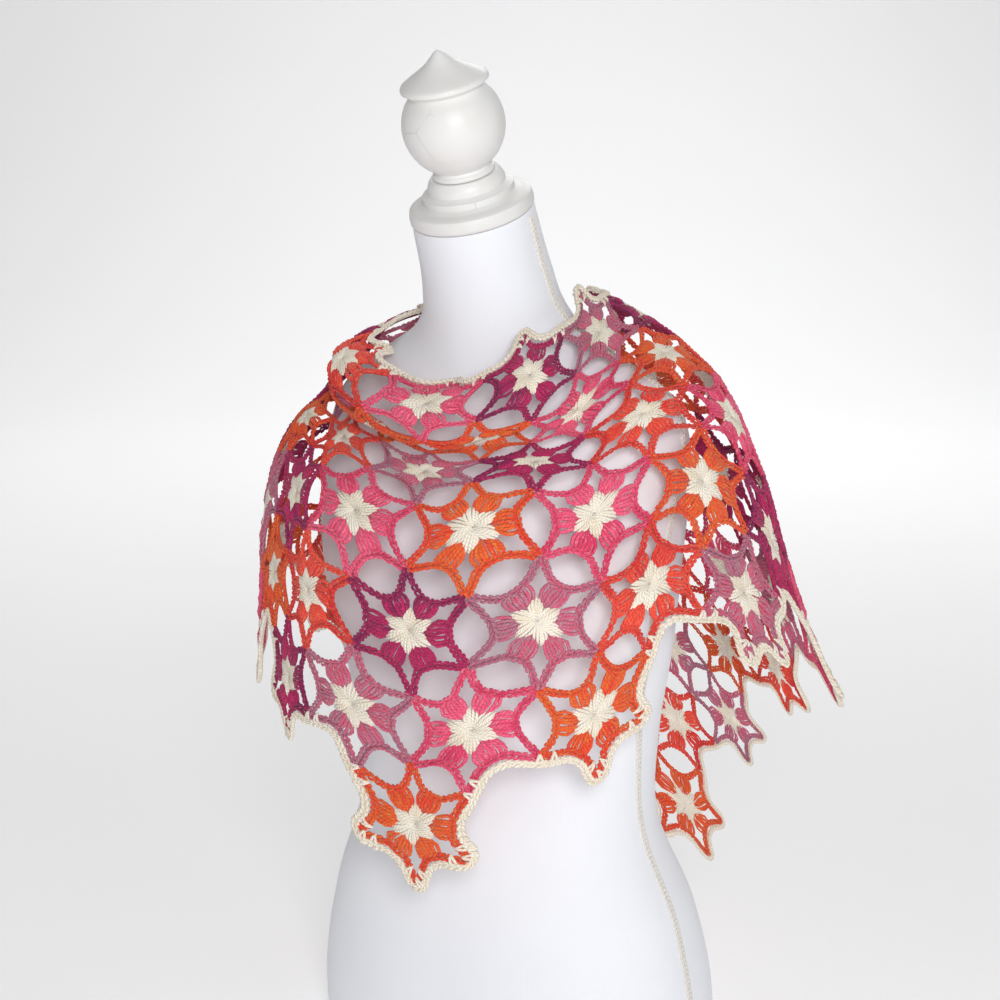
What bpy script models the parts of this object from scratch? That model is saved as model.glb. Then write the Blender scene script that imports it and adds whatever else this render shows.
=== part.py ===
"""Crocheted star-flower shawl worn by a limbless dress form.

The shawl is a flat obtuse triangle of seventy hexagonal lace motifs, joined
tip to tip, with a narrow cream band all round. Every piece is made flat, at
its true size, and then draped by one function, which reads a table of ribs:
lines that run down the cloth from its neck edge. Metres, +Z up, the front
looks along -Y, and the origin is under the middle of the flat base.
"""

from math import cos, pi, radians, sin, sqrt
from typing import NamedTuple

import bmesh
import bpy
import numpy as np
from mathutils import Matrix, Vector

CM = 0.01

# Flat shawl: a lattice of motifs that stand on one tip
PITCH = 0.095
MOTIF_ROWS = 7
ROW_RISE = PITCH * sqrt(3) / 2
TIP_REACH = PITCH / sqrt(3)
NECK_LINE = (MOTIF_ROWS - 1) * ROW_RISE + TIP_REACH
WALL = 0.003

# One motif, from its middle outwards
STAR_RING = 0.026
TIP_HALF_WIDTH = 0.003
SEAM_GAP = 0.0005
SIDE_FLANK = 0.0385
FLANK_ANGLE = radians(19)
TIP_HOLE_BASE = 0.031
TIP_HOLE_SIDES = (-0.0037, 0.0037)
TIP_HOLE_POINT = 0.044
MOTIFS_WITH_TIP_HOLES = 22

# Cream band round the lace
BAND_GAP = 0.0008
BAND_WIDTH = 0.0065
BAND_MITRE_LIMIT = 1.5

# Grid on which the draped surface is worked out
RIB_STEP = 0.05
DROP_STEP = 0.0025
EDGE_ALLOWANCE = 0.010
STATION_END = 9.9
DROP_END = 0.62


class Rib(NamedTuple):
    """One line down the cloth, from its neck edge to its hem.

    station is its place along the neck edge in motifs, from the middle of
    the front. x, y and z place its upper end, in centimetres. bearing is the
    way it falls, in degrees from the front. gather is how much of the cloth's
    depth is left where the collar bunches up. The other values are slopes in
    degrees at named depths: 0 runs straight out, 90 straight down, and 180
    back in towards the neck.
    """

    station: float
    x: float
    y: float
    z: float
    bearing: float
    gather: float
    edge: float
    shelf: float
    lip: float
    tuck: float
    spring: float
    chest: float
    bust: float
    hang: float


SLOPE_DEPTHS_CM = (0.0, 5.0, 9.0, 14.0, 19.0, 27.0, 35.0, 62.0)
GATHER_DEPTHS_CM = (0.0, 5.0, 10.0, 24.0, 31.0, 62.0)

RIBS = (
    Rib(-9.5, -6.0, 14.5, 14.0, -130, 0.70, 30, 30, 30, 30, 30, 30, 30, 30),
    Rib(-8.0, -4.0, 15.0, 27.0, -122, 0.70, 30, 30, 30, 30, 30, 30, 30, 30),
    Rib(-6.5, -2.6, 15.0, 40.0, -106, 0.80, 30, 30, 35, 40, 45, 50, 50, 50),
    Rib(-5.0, -2.0, 14.0, 53.0, -82, 1.00, 20, 25, 30, 40, 50, 60, 55, 55),
    Rib(-4.0, -3.4, 12.5, 61.5, -63, 1.00, 15, 20, 25, 30, 42, 64, 72, 72),
    Rib(-3.0, -7.4, 7.3, 66.3, -53, 1.05, 22, 26, 30, 36, 50, 82, 86, 88),
    Rib(-2.0, -9.0, 2.0, 66.5, -37, 0.60, 10, 20, 55, 65, 35, 70, 88, 90),
    Rib(-1.0, -8.5, -6.5, 63.0, -11, 0.50, -15, 10, 100, 175, 40, 55, 88, 93),
    Rib(0.0, 1.4, -10.3, 61.5, 4, 0.42, 5, 15, 95, 180, 35, 65, 92, 93),
    Rib(1.0, 6.3, -8.0, 65.2, 38, 0.47, 20, 35, 80, 150, 10, 55, 90, 94),
    Rib(2.0, 6.6, 0.2, 68.6, 56, 0.55, 40, 30, 30, 35, 50, 78, 92, 95),
    Rib(3.0, 3.8, 7.5, 68.0, 82, 0.80, 15, 20, 26, 36, 55, 85, 88, 90),
    Rib(4.0, 1.6, 12.8, 61.5, 94, 0.95, 15, 20, 30, 40, 55, 75, 72, 72),
    Rib(5.0, 1.6, 14.2, 53.0, 103, 1.00, 20, 25, 35, 45, 55, 60, 50, 50),
    Rib(6.5, 2.6, 14.8, 41.0, 114, 0.80, 30, 30, 35, 40, 45, 50, 50, 50),
    Rib(8.0, 4.0, 14.8, 29.5, 123, 0.70, 30, 30, 30, 30, 30, 30, 30, 30),
    Rib(9.5, 6.0, 14.2, 17.5, 130, 0.70, 30, 30, 30, 30, 30, 30, 30, 30),
)


class FormSection(NamedTuple):
    """One ring of the dress form, in centimetres.

    z and y are its height and its middle, wide and deep its half sizes,
    roundness the power of its superellipse, and lean its tilt in degrees.
    """

    z: float
    y: float
    wide: float
    deep: float
    roundness: float
    lean: float


FORM_SECTIONS = (
    FormSection(0.0, 1.2, 18.7, 12.9, 2.2, 0),
    FormSection(5.0, 1.2, 18.9, 13.0, 2.2, 0),
    FormSection(14.0, 0.8, 17.3, 11.8, 2.2, 0),
    FormSection(23.0, -0.3, 14.2, 10.0, 2.1, 0),
    FormSection(30.0, -0.5, 14.4, 10.2, 2.1, 0),
    FormSection(38.0, -1.0, 15.7, 11.0, 2.2, 0),
    FormSection(46.0, -1.7, 16.8, 11.7, 2.2, 0),
    FormSection(52.0, -1.3, 17.3, 10.8, 2.2, 0),
    FormSection(57.0, -0.7, 17.2, 9.5, 2.1, 0),
    FormSection(60.0, -0.7, 16.2, 8.3, 1.9, 0),
    FormSection(62.0, -1.1, 13.8, 7.5, 1.7, 0),
    FormSection(63.5, -1.5, 11.2, 7.0, 1.6, 3),
    FormSection(65.0, -2.0, 8.6, 6.5, 1.7, 7),
    FormSection(67.0, -2.6, 6.5, 6.0, 1.9, 12),
    FormSection(70.0, -3.6, 5.6, 5.6, 2.0, 18),
    FormSection(75.4, -5.8, 5.2, 5.2, 2.0, 22),
)
FORM_RING_STEPS = 28
FORM_RINGS_PER_SECTION = 2
NECK_TOP = FORM_SECTIONS[-1]

# Turned wooden cap and finial: radius and height on their own axis, in
# centimetres, from the top down
FINIAL_PROFILE_CM = (
    (0.0, 14.2),
    (0.35, 14.0),
    (1.3, 13.1),
    (2.6, 12.3),
    (3.6, 11.7),
    (3.7, 11.3),
    (3.3, 11.0),
    (4.2, 9.9),
    (4.5, 8.3),
    (4.1, 6.4),
    (3.0, 4.8),
    (2.5, 4.2),
    (2.6, 3.6),
    (0.0, 3.6),
)
NECK_CAP_PROFILE_CM = (
    (0.0, 3.55),
    (2.9, 3.55),
    (3.3, 2.5),
    (3.9, 2.2),
    (3.9, 1.7),
    (4.5, 1.4),
    (5.2, 1.2),
    (5.3, 0.2),
    (5.1, 0.03),
    (0.0, 0.03),
)
TURNED_STEPS = 24

# Yarn colours, charted by row from the tip up, each row from left to right
COLOUR_CHART = (
    "O",
    "DMPO",
    "PORDMRM",
    "ROMDPOPODP",
    "PMODORMDRPDMR",
    "ODPRODMOOPORDPOM",
    "PMRDOPMDRPDMDOPRMRO",
)
YARNS = {
    "D": ("yarn_dark_magenta", (0.22, 0.015, 0.09)),
    "M": ("yarn_mauve", (0.45, 0.15, 0.24)),
    "P": ("yarn_pink", (0.62, 0.10, 0.19)),
    "O": ("yarn_orange", (0.72, 0.13, 0.035)),
    "R": ("yarn_coral_red", (0.66, 0.055, 0.035)),
}
CREAM = ("yarn_cream", (0.85, 0.78, 0.66))
JERSEY = ("white_jersey", (0.82, 0.81, 0.83))
PAINTED_WOOD = ("white_painted_wood", (0.88, 0.87, 0.86))

# Motifs of a row that stay single in the middle, and how the rest are
# worked together towards each end
ROW_GROUPS = {
    4: (7, (3,)),
    5: (6, (3, 2)),
    6: (5, (3, 2, 2)),
}


def clear_scene():
    """Start from an empty file."""
    for item in list(bpy.data.objects):
        bpy.data.objects.remove(item, do_unlink=True)


def make_material(name, colour, roughness):
    """Give the Principled material of one finish."""
    if name in bpy.data.materials:
        return bpy.data.materials[name]
    material = bpy.data.materials.new(name)
    material.use_nodes = True
    shader = material.node_tree.nodes["Principled BSDF"]
    shader.inputs["Base Color"].default_value = (*colour, 1.0)
    shader.inputs["Roughness"].default_value = roughness
    shader.inputs["Metallic"].default_value = 0.0
    return material


def smooth_rows(at, places, rows):
    """Read a table between its rows along smooth cubic curves."""
    places = np.asarray(places, float)
    rows = np.asarray(rows, float)
    gaps = np.diff(places)[:, None]
    rates = np.diff(rows, axis=0) / gaps
    slopes = np.zeros_like(rows)
    slopes[1:-1] = (rates[:-1] * gaps[1:] + rates[1:] * gaps[:-1]) / (gaps[:-1] + gaps[1:])
    slopes[0] = rates[0]
    slopes[-1] = rates[-1]
    low = np.clip(np.searchsorted(places, at) - 1, 0, len(places) - 2)
    gap = (places[low + 1] - places[low])[:, None]
    t = (at[:, None] - places[low][:, None]) / gap
    start = (2 * t**3 - 3 * t**2 + 1) * rows[low] + (t**3 - 2 * t**2 + t) * gap * slopes[low]
    end = (3 * t**2 - 2 * t**3) * rows[low + 1] + (t**3 - t**2) * gap * slopes[low + 1]
    return start + end


class Drape:
    """Lays the flat shawl over the dress form.

    A flat point is x along the neck edge from the middle of the front and y
    up from the middle of the lowest motif. Its depth is what lies between it
    and the neck edge, and each rib is followed down to that depth.
    """

    def __init__(self):
        """Follow every rib down on a fine grid."""
        self.stations = np.arange(-STATION_END, STATION_END + RIB_STEP / 2, RIB_STEP)
        self.depths = np.arange(-EDGE_ALLOWANCE, DROP_END + DROP_STEP / 2, DROP_STEP)
        values = smooth_rows(self.stations, [rib.station for rib in RIBS], [rib[1:] for rib in RIBS])
        depths_cm = self.depths / CM
        slope = np.radians([np.interp(depths_cm, SLOPE_DEPTHS_CM, row) for row in values[:, 5:]])
        gather = values[:, 4]
        full = np.ones_like(gather)
        eases = np.stack([full, full, gather, gather, full, full], axis=-1)
        step = DROP_STEP * np.array([np.interp(depths_cm, GATHER_DEPTHS_CM, row) for row in eases])
        out = np.cumsum(step * np.cos(slope), axis=1)
        down = np.cumsum(step * np.sin(slope), axis=1)
        edge = int(round(EDGE_ALLOWANCE / DROP_STEP))
        out -= out[:, edge : edge + 1]
        down -= down[:, edge : edge + 1]
        bearing = np.radians(values[:, 3])[:, None]
        self.points = np.stack(
            [
                values[:, 0:1] * CM + out * np.sin(bearing),
                values[:, 1:2] * CM - out * np.cos(bearing),
                values[:, 2:3] * CM - down,
            ],
            axis=-1,
        )
        along = np.gradient(self.points, axis=0)
        below = np.gradient(self.points, axis=1)
        normals = np.cross(below, along)
        self.normals = normals / np.linalg.norm(normals, axis=-1, keepdims=True)

    def place(self, flat):
        """Give the draped place of flat points, lifted off the cloth by their z."""
        flat = np.asarray(flat, float)
        column = (flat[:, 0] / PITCH - self.stations[0]) / RIB_STEP
        line = (NECK_LINE - flat[:, 1] - self.depths[0]) / DROP_STEP
        i = np.clip(np.floor(column).astype(int), 0, len(self.stations) - 2)
        j = np.clip(np.floor(line).astype(int), 0, len(self.depths) - 2)
        a = (column - i)[:, None]
        b = (line - j)[:, None]

        def blend(grid):
            """Mix the four grid values round each point."""
            left = (1 - b) * grid[i, j] + b * grid[i, j + 1]
            right = (1 - b) * grid[i + 1, j] + b * grid[i + 1, j + 1]
            return (1 - a) * left + a * right

        normal = blend(self.normals)
        normal /= np.linalg.norm(normal, axis=-1, keepdims=True)
        return blend(self.points) + flat[:, 2:3] * normal


def motif_centre(column, row):
    """Give the flat middle of a motif."""
    return Vector((PITCH * (column + row / 2), row * ROW_RISE, 0))


def polar(radius, angle):
    """Give a flat point from its distance and angle."""
    return Vector((radius * cos(angle), radius * sin(angle), 0))


def tip_angles():
    """Give the directions of a motif's six tips."""
    return [radians(30 + 60 * k) for k in range(6)]


def tip_corners(angle, gap=SEAM_GAP):
    """Give the two corners of the blunt end of a tip, clockwise one first."""
    back = (TIP_HALF_WIDTH * cos(pi / 3) + gap / 2) / sin(pi / 3)
    along = polar(1, angle)
    across = polar(TIP_HALF_WIDTH, angle + pi / 2)
    end = along * (TIP_REACH - back)
    return end - across, end + across


def side_points(angle, gap=SEAM_GAP):
    """Give the four points of the side that follows a tip, anticlockwise."""
    middle = angle + pi / 6
    first = tip_corners(angle, gap)[1]
    last = tip_corners(angle + pi / 3, gap)[0]
    return [
        first,
        polar(SIDE_FLANK, middle - FLANK_ANGLE / 2),
        polar(SIDE_FLANK, middle + FLANK_ANGLE / 2),
        last,
    ]


def nearest(verts, point):
    """Give the vertex that lies nearest to a point."""
    return min(verts, key=lambda vert: (vert.co - point).length_squared)


def flat_motif(name, with_holes):
    """Make the flat mesh of one motif: a ring round the star, six tips, concave sides."""
    sheet = bmesh.new()
    ring = bmesh.ops.create_circle(sheet, cap_ends=True, cap_tris=True, segments=12, radius=STAR_RING)["verts"]
    bmesh.ops.rotate(sheet, verts=ring, cent=(0, 0, 0), matrix=Matrix.Rotation(radians(15), 3, "Z"))
    rim = [edge for edge in sheet.edges if edge.is_boundary]
    grown = bmesh.ops.extrude_edge_only(sheet, edges=rim)["geom"]
    outer = [item for item in grown if isinstance(item, bmesh.types.BMVert)]
    for vert in outer:
        vert.co *= TIP_REACH / STAR_RING
    corners = [corner for angle in tip_angles() for corner in tip_corners(angle)]
    for vert, corner in [(nearest(outer, corner), corner) for corner in corners]:
        vert.co = corner
    sides = [edge for edge in sheet.edges if edge.is_boundary and edge.calc_length() > 3 * TIP_HALF_WIDTH]
    bmesh.ops.subdivide_edges(sheet, edges=sides, cuts=2)
    outer = [vert for vert in sheet.verts if vert.is_boundary]
    for angle in tip_angles():
        for point in side_points(angle)[1:3]:
            nearest(outer, point).co = point
    if with_holes:
        open_tip_holes(sheet, outer)
    bmesh.ops.triangulate(sheet, faces=sheet.faces)
    mesh = bpy.data.meshes.new(name)
    sheet.to_mesh(mesh)
    sheet.free()
    return mesh


def open_tip_holes(sheet, outer):
    """Cut the small three-sided gap between the two cords of each tip."""
    tips = []
    for angle in tip_angles():
        first, second = [nearest(outer, corner) for corner in tip_corners(angle)]
        tips.append((angle, (set(first.link_faces) & set(second.link_faces)).pop()))
    for angle, face in tips:
        bmesh.ops.inset_individual(sheet, faces=[face], thickness=TIP_HALF_WIDTH / 4)
        by_reach = sorted(face.verts, key=lambda vert: vert.co.dot(polar(1, angle)))
        base = [polar(TIP_HOLE_BASE, angle) + polar(side, angle + pi / 2) for side in TIP_HOLE_SIDES]
        for point in base:
            nearest(by_reach[:2], point).co = point
        bmesh.ops.delete(sheet, geom=[face], context="FACES_ONLY")
        bmesh.ops.pointmerge(sheet, verts=by_reach[2:], merge_co=polar(TIP_HOLE_POINT, angle))


def sew_tips(sheet, centre):
    """Weld a motif's two right-hand tips to the next motif of its group."""
    for angle in (radians(30), radians(-30)):
        meeting = centre + polar(TIP_REACH, angle)
        near = [vert for vert in sheet.verts if (vert.co - meeting).length < 3 * TIP_HALF_WIDTH]
        pairs = [
            (a, b)
            for a in near
            for b in near
            if a.co.x < b.co.x and (a.co - b.co).length < 2 * SEAM_GAP
        ]
        first, second = pairs[0]
        joint = (first.co + second.co) / 2
        bmesh.ops.pointmerge(sheet, verts=[first, second], merge_co=joint)
        near = [vert for vert in near if vert.is_valid]
        knot = nearest(near, joint)
        others = [vert for vert in near if vert is not knot]
        bmesh.ops.contextual_create(sheet, geom=[knot, *others])


def thicken(sheet):
    """Give a flat sheet its wall thickness, half to each side."""
    bmesh.ops.recalc_face_normals(sheet, faces=sheet.faces)
    for face in sheet.faces:
        face.normal_update()
    if sum(face.normal.z for face in sheet.faces) > 0:
        bmesh.ops.reverse_faces(sheet, faces=sheet.faces)
    grown = bmesh.ops.extrude_face_region(sheet, geom=sheet.faces[:])["geom"]
    raised = [item for item in grown if isinstance(item, bmesh.types.BMVert)]
    bmesh.ops.translate(sheet, verts=raised, vec=(0, 0, WALL))
    bmesh.ops.translate(sheet, verts=sheet.verts, vec=(0, 0, -WALL / 2))
    bmesh.ops.recalc_face_normals(sheet, faces=sheet.faces)


def drape_sheet(sheet, drape):
    """Move every point of a flat body to its draped place."""
    draped = drape.place([vert.co[:] for vert in sheet.verts])
    for vert, place in zip(sheet.verts, draped):
        vert.co = Vector(place)


def finish_object(sheet, name, material, collection, smooth=True):
    """Turn a bmesh into a named object with its material."""
    mesh = bpy.data.meshes.new(name)
    sheet.to_mesh(mesh)
    sheet.free()
    mesh.materials.append(material)
    if smooth:
        mesh.shade_smooth()
        mesh.set_sharp_from_angle(angle=radians(40))
    item = bpy.data.objects.new(name, mesh)
    collection.objects.link(item)
    return item


def row_groups(row):
    """Split a row of motifs into the runs that are worked as one piece."""
    columns = list(range(-2 * row, row + 1))
    if row not in ROW_GROUPS:
        return [[column] for column in columns]
    singles, outward = ROW_GROUPS[row]
    wing = (len(columns) - singles) // 2
    runs = [[column] for column in columns[wing : wing + singles]]
    left_end = wing
    right_start = wing + singles
    for size in outward:
        runs.insert(0, columns[left_end - size : left_end])
        runs.append(columns[right_start : right_start + size])
        left_end -= size
        right_start += size
    return runs


def build_motifs(drape, collection):
    """Make every star-flower motif, the outer ones in short runs."""
    closed = flat_motif("closed_motif", False)
    opened = flat_motif("opened_motif", True)
    open_tips_left = MOTIFS_WITH_TIP_HOLES
    for row in range(MOTIF_ROWS):
        for run in row_groups(row):
            sheet = bmesh.new()
            for column in run:
                count = len(sheet.verts)
                sheet.from_mesh(opened if open_tips_left > 0 else closed)
                open_tips_left -= 1
                bmesh.ops.translate(sheet, verts=sheet.verts[:][count:], vec=motif_centre(column, row))
            for column in run[:-1]:
                sew_tips(sheet, motif_centre(column, row))
            thicken(sheet)
            drape_sheet(sheet, drape)
            first = run[0] + 2 * row + 1
            name = f"motif_row{row + 1}_{first:02d}"
            if len(run) > 1:
                name = f"motifs_row{row + 1}_{first:02d}_{first + len(run) - 1:02d}"
            yarn, colour = YARNS[COLOUR_CHART[row][first - 1]]
            finish_object(sheet, name, make_material(yarn, colour, 0.9), collection)
    bpy.data.meshes.remove(closed)
    bpy.data.meshes.remove(opened)


def outer_sides():
    """List the free sides of the lattice as (column, row, tip angle)."""
    cells = {(column, row) for row in range(MOTIF_ROWS) for column in range(-2 * row, row + 1)}
    steps = ((0, 1), (-1, 1), (-1, 0), (0, -1), (1, -1), (1, 0))
    found = []
    for column, row in sorted(cells):
        for angle, step in zip(tip_angles(), steps):
            if (column + step[0], row + step[1]) not in cells:
                found.append((column, row, angle))
    return found


def band_outline():
    """Walk round the lace and give the outline's points and which are blunt tips."""
    sides = {}
    for column, row, angle in outer_sides():
        centre = motif_centre(column, row)
        points = [centre + point for point in side_points(angle, 0.0)]
        start = centre + polar(TIP_REACH, angle)
        end = centre + polar(TIP_REACH, angle + pi / 3)
        sides[key_of(start)] = (key_of(end), points, (column, row))
    order = []
    place = key_of(motif_centre(MOTIF_ROWS - 1, MOTIF_ROWS - 1) + polar(TIP_REACH, radians(-30)))
    for _ in range(len(sides)):
        following, points, owner = sides[place]
        order.append((points, owner))
        place = following
    return order


def key_of(point):
    """Give a rounded key for a flat point."""
    return round(point.x * 1e4), round(point.y * 1e4)


def band_rails(order):
    """Work out the inner and outer rail of the band from the outline."""
    line = []
    for k, (points, owner) in enumerate(order):
        previous_owner = order[k - 1][1]
        if previous_owner == owner:
            line.append(points[0])
        else:
            line.append((points[0] + order[k - 1][0][3]) / 2)
        line.extend(points[1:3])
        if order[(k + 1) % len(order)][1] == owner:
            line.append(points[3])
    return line


def outward(line, k):
    """Give the mitred outward direction of an outline at a point."""
    before = (line[k] - line[k - 1]).normalized()
    after = (line[(k + 1) % len(line)] - line[k]).normalized()
    bisector = Vector((before.y + after.y, -before.x - after.x, 0)).normalized()
    side = Vector((after.y, -after.x, 0))
    return bisector * min(1 / max(bisector.dot(side), 0.1), BAND_MITRE_LIMIT)


def band_runs(line):
    """Split the outline at its three corners into the named stretches of band."""
    top = [k for k, point in enumerate(line) if point.y > NECK_LINE - TIP_REACH / 2 - 0.001]
    right_corner = min(top, key=lambda k: -line[k].x)
    left_corner = min(top, key=lambda k: line[k].x)
    tip = min(range(len(line)), key=lambda k: line[k].y)
    count = len(line)

    def span(start, stop):
        """List the places from one corner to the next, going round."""
        length = (stop - start) % count
        return [(start + step) % count for step in range(length + 1)]

    return {
        "band_neck_edge": span(right_corner, left_corner),
        "band_hem_right_wing": span(left_corner, tip),
        "band_hem_left_wing": span(tip, right_corner),
    }


def build_band(drape, collection):
    """Make the cream band as three draped strips that follow the lace's outline."""
    line = band_rails(band_outline())
    material = make_material(*CREAM, 0.9)
    for name, run in band_runs(line).items():
        sheet = bmesh.new()
        rails = []
        for reach in (BAND_GAP, BAND_GAP + BAND_WIDTH):
            rails.append([sheet.verts.new(line[k] + outward(line, k) * reach) for k in run])
        trim_band_ends(rails)
        edges = []
        for rail in rails:
            edges.extend(sheet.edges.new(pair) for pair in zip(rail, rail[1:]))
        bmesh.ops.bridge_loops(sheet, edges=edges)
        bmesh.ops.triangulate(sheet, faces=sheet.faces)
        thicken(sheet)
        drape_sheet(sheet, drape)
        finish_object(sheet, name, material, collection)


def trim_band_ends(rails):
    """Draw both ends of a stretch in a little, clear of the next stretch."""
    for rail in rails:
        for end, inner in ((rail[0], rail[1]), (rail[-1], rail[-2])):
            end.co += (inner.co - end.co).normalized() * SEAM_GAP


def superellipse(wide, deep, roundness, angle):
    """Give a point of a superellipse."""
    c = cos(angle)
    s = sin(angle)
    x = wide * abs(c) ** (2 / roundness) * (1 if c >= 0 else -1)
    y = deep * abs(s) ** (2 / roundness) * (1 if s >= 0 else -1)
    return x, y


def build_form(collection):
    """Loft the dress form's body through its rings, closed at base and neck."""
    places = [section.z for section in FORM_SECTIONS]
    heights = [places[0]]
    for low, high in zip(places, places[1:]):
        for step in range(1, FORM_RINGS_PER_SECTION + 1):
            heights.append(low + (high - low) * step / FORM_RINGS_PER_SECTION)
    rows = smooth_rows(np.array(heights), places, [section[1:] for section in FORM_SECTIONS])
    body = bmesh.new()
    loops = []
    for z, (y, wide, deep, roundness, lean) in zip(heights, rows):
        ring = bmesh.ops.create_circle(body, segments=FORM_RING_STEPS, radius=1.0)["verts"]
        for k, vert in enumerate(ring):
            px, py = superellipse(wide, deep, roundness, 2 * pi * k / FORM_RING_STEPS)
            vert.co = Vector((px * CM, py * CM, 0))
        turn = Matrix.Rotation(radians(lean), 4, "X")
        place = Matrix.Translation((0, y * CM, z * CM)) @ turn
        bmesh.ops.transform(body, matrix=place, verts=ring)
        loops.append(list({edge for vert in ring for edge in vert.link_edges}))
    for lower, upper in zip(loops, loops[1:]):
        bmesh.ops.bridge_loops(body, edges=lower + upper)
    bmesh.ops.holes_fill(body, edges=loops[0] + loops[-1])
    bmesh.ops.recalc_face_normals(body, faces=body.faces)
    finish_object(body, "form_body", make_material(*JERSEY, 0.85), collection)


def build_turned(name, profile_cm, collection):
    """Turn a wooden piece on the leaning axis of the neck."""
    mesh = bpy.data.meshes.new(name)
    points = [(radius * CM, 0, height * CM) for radius, height in profile_cm]
    mesh.from_pydata(points, [(k, k + 1) for k in range(len(points) - 1)], [])
    mesh.materials.append(make_material(*PAINTED_WOOD, 0.45))
    item = bpy.data.objects.new(name, mesh)
    item.location = (0, NECK_TOP.y * CM, NECK_TOP.z * CM)
    item.rotation_euler = (radians(NECK_TOP.lean), 0, 0)
    collection.objects.link(item)
    screw = item.modifiers.new("turning", "SCREW")
    screw.axis = "Z"
    screw.steps = TURNED_STEPS
    screw.render_steps = TURNED_STEPS
    screw.use_merge_vertices = True
    screw.merge_threshold = 0.00005
    screw.use_smooth_shade = True


def main():
    """Build the dress form and the shawl."""
    clear_scene()
    collection = bpy.data.collections.new("Star_flower_shawl")
    bpy.context.scene.collection.children.link(collection)
    build_form(collection)
    build_turned("form_neck_cap", NECK_CAP_PROFILE_CM, collection)
    build_turned("form_finial", FINIAL_PROFILE_CM, collection)
    drape = Drape()
    build_motifs(drape, collection)
    build_band(drape, collection)


main()
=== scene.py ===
"""Looks of the crocheted star-flower shawl and of the dress form that it rests on.

The shawl is crocheted here strand by strand. Each motif is laid out flat, at its true size, from
lengths of yarn: the petals of its star, its six shells and the chains between its tips. The same
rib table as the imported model's then drapes every strand over the form. Lengths are in metres and
angles in radians, unless a name or a docstring says otherwise.
"""

import logging
from collections.abc import Callable
from dataclasses import dataclass
from enum import Enum
from math import cos, pi, radians, sin, sqrt
from typing import NamedTuple

import bmesh
import bpy
import numpy as np
from mathutils import Matrix, Vector


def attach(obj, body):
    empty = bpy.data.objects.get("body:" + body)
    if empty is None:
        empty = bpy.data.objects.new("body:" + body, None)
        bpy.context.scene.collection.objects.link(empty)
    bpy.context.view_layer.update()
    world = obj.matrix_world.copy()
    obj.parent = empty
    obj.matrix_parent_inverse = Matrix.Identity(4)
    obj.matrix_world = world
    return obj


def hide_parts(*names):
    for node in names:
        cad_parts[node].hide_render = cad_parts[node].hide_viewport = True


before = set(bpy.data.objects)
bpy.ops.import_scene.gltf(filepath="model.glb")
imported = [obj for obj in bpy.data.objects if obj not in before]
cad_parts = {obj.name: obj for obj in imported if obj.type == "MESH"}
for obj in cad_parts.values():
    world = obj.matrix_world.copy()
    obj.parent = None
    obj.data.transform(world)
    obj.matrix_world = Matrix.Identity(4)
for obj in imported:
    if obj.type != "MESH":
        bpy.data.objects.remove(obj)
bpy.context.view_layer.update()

log = logging.getLogger("shawl")

CM = 0.01
MM = 0.001

# Flat shawl: a lattice of motifs that stand on one tip
PITCH = 0.095
MOTIF_ROWS = 7
ROW_RISE = PITCH * sqrt(3) / 2
TIP_REACH = PITCH / sqrt(3)
NECK_LINE = (MOTIF_ROWS - 1) * ROW_RISE + TIP_REACH
TIP_HALF_WIDTH = 0.003

# Half of a motif's concave side, from tip to middle, as the chain runs: outwards and across, in mm
HALF_SIDE_MM = np.array([(47.7, 26.0), (45.4, 24.0), (41.4, 19.4), (36.7, 13.6), (33.2, 7.4), (32.2, 0.0)])
SIDE_POINTS = 41

# Outline that the cream band follows: three bends to a side, then its rails off that line
FLANK_ANGLE = radians(13)
SIDE_BENDS = ((0.0368, -FLANK_ANGLE), (0.0350, 0.0), (0.0368, FLANK_ANGLE))
BAND_MIDDLE = 0.0041
BAND_BITE = -0.006
BAND_MITRE_LIMIT = 1.5
BAND_CUT = 0.2
BAND_END_INSET = 0.3
BITE_SPACING = 0.012
BITE_HALF_SPREAD = 0.003

# Grid on which the draped surface is worked out: stations in pitches, depths in metres
RIB_STEP = 0.05
DROP_STEP = 0.0025
EDGE_ALLOWANCE = 0.010
STATION_END = 9.9
DROP_END = 0.62

# Unevenness of handwork
CLOTH_CREASE = 0.0005
COLLAR_CREASE = 0.0014
COLLAR_DEPTH = 0.13
COLLAR_SPREAD = 0.09
COLLAR_REACH = 0.30
MOTIF_WARP = 0.0007
MOTIF_WARP_RATE = 150

# Yarn
STRAND_SIDES = 5
STRAND_END = 0.8
BALL_CM = 90


class Ripple(NamedTuple):
    """One wave over the flat cloth: its height, its radians to a metre each way, and its start."""

    height: float
    rate_x: float
    rate_y: float
    start: float = 0.0

    def at(self, x: np.ndarray, y: np.ndarray) -> np.ndarray:
        """Give the wave's height at flat places."""
        return self.height * np.sin(self.rate_x * x + self.rate_y * y + self.start)


CREASES = (Ripple(1.0, 38, 21), Ripple(0.7, 61, -47, 1.3), Ripple(0.5, 29, 97, 0.7))
STRETCH_X = Ripple(0.0016, 40, 75)
STRETCH_Y = Ripple(0.0016, 70, -35)


class Rib(NamedTuple):
    """One line down the cloth, from its neck edge to its hem.

    Lengths are in centimetres, the bearing and the slopes in degrees. A slope of 0 runs straight
    out, 90 straight down, and 180 back in towards the neck.
    """

    station: float
    x: float
    y: float
    z: float
    bearing: float
    gather: float
    edge: float
    shelf: float
    lip: float
    tuck: float
    spring: float
    chest: float
    bust: float
    hang: float


SLOPE_DEPTHS_CM = (0.0, 5.0, 9.0, 14.0, 19.0, 27.0, 35.0, 62.0)
GATHER_DEPTHS_CM = (0.0, 5.0, 10.0, 24.0, 31.0, 62.0)

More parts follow.
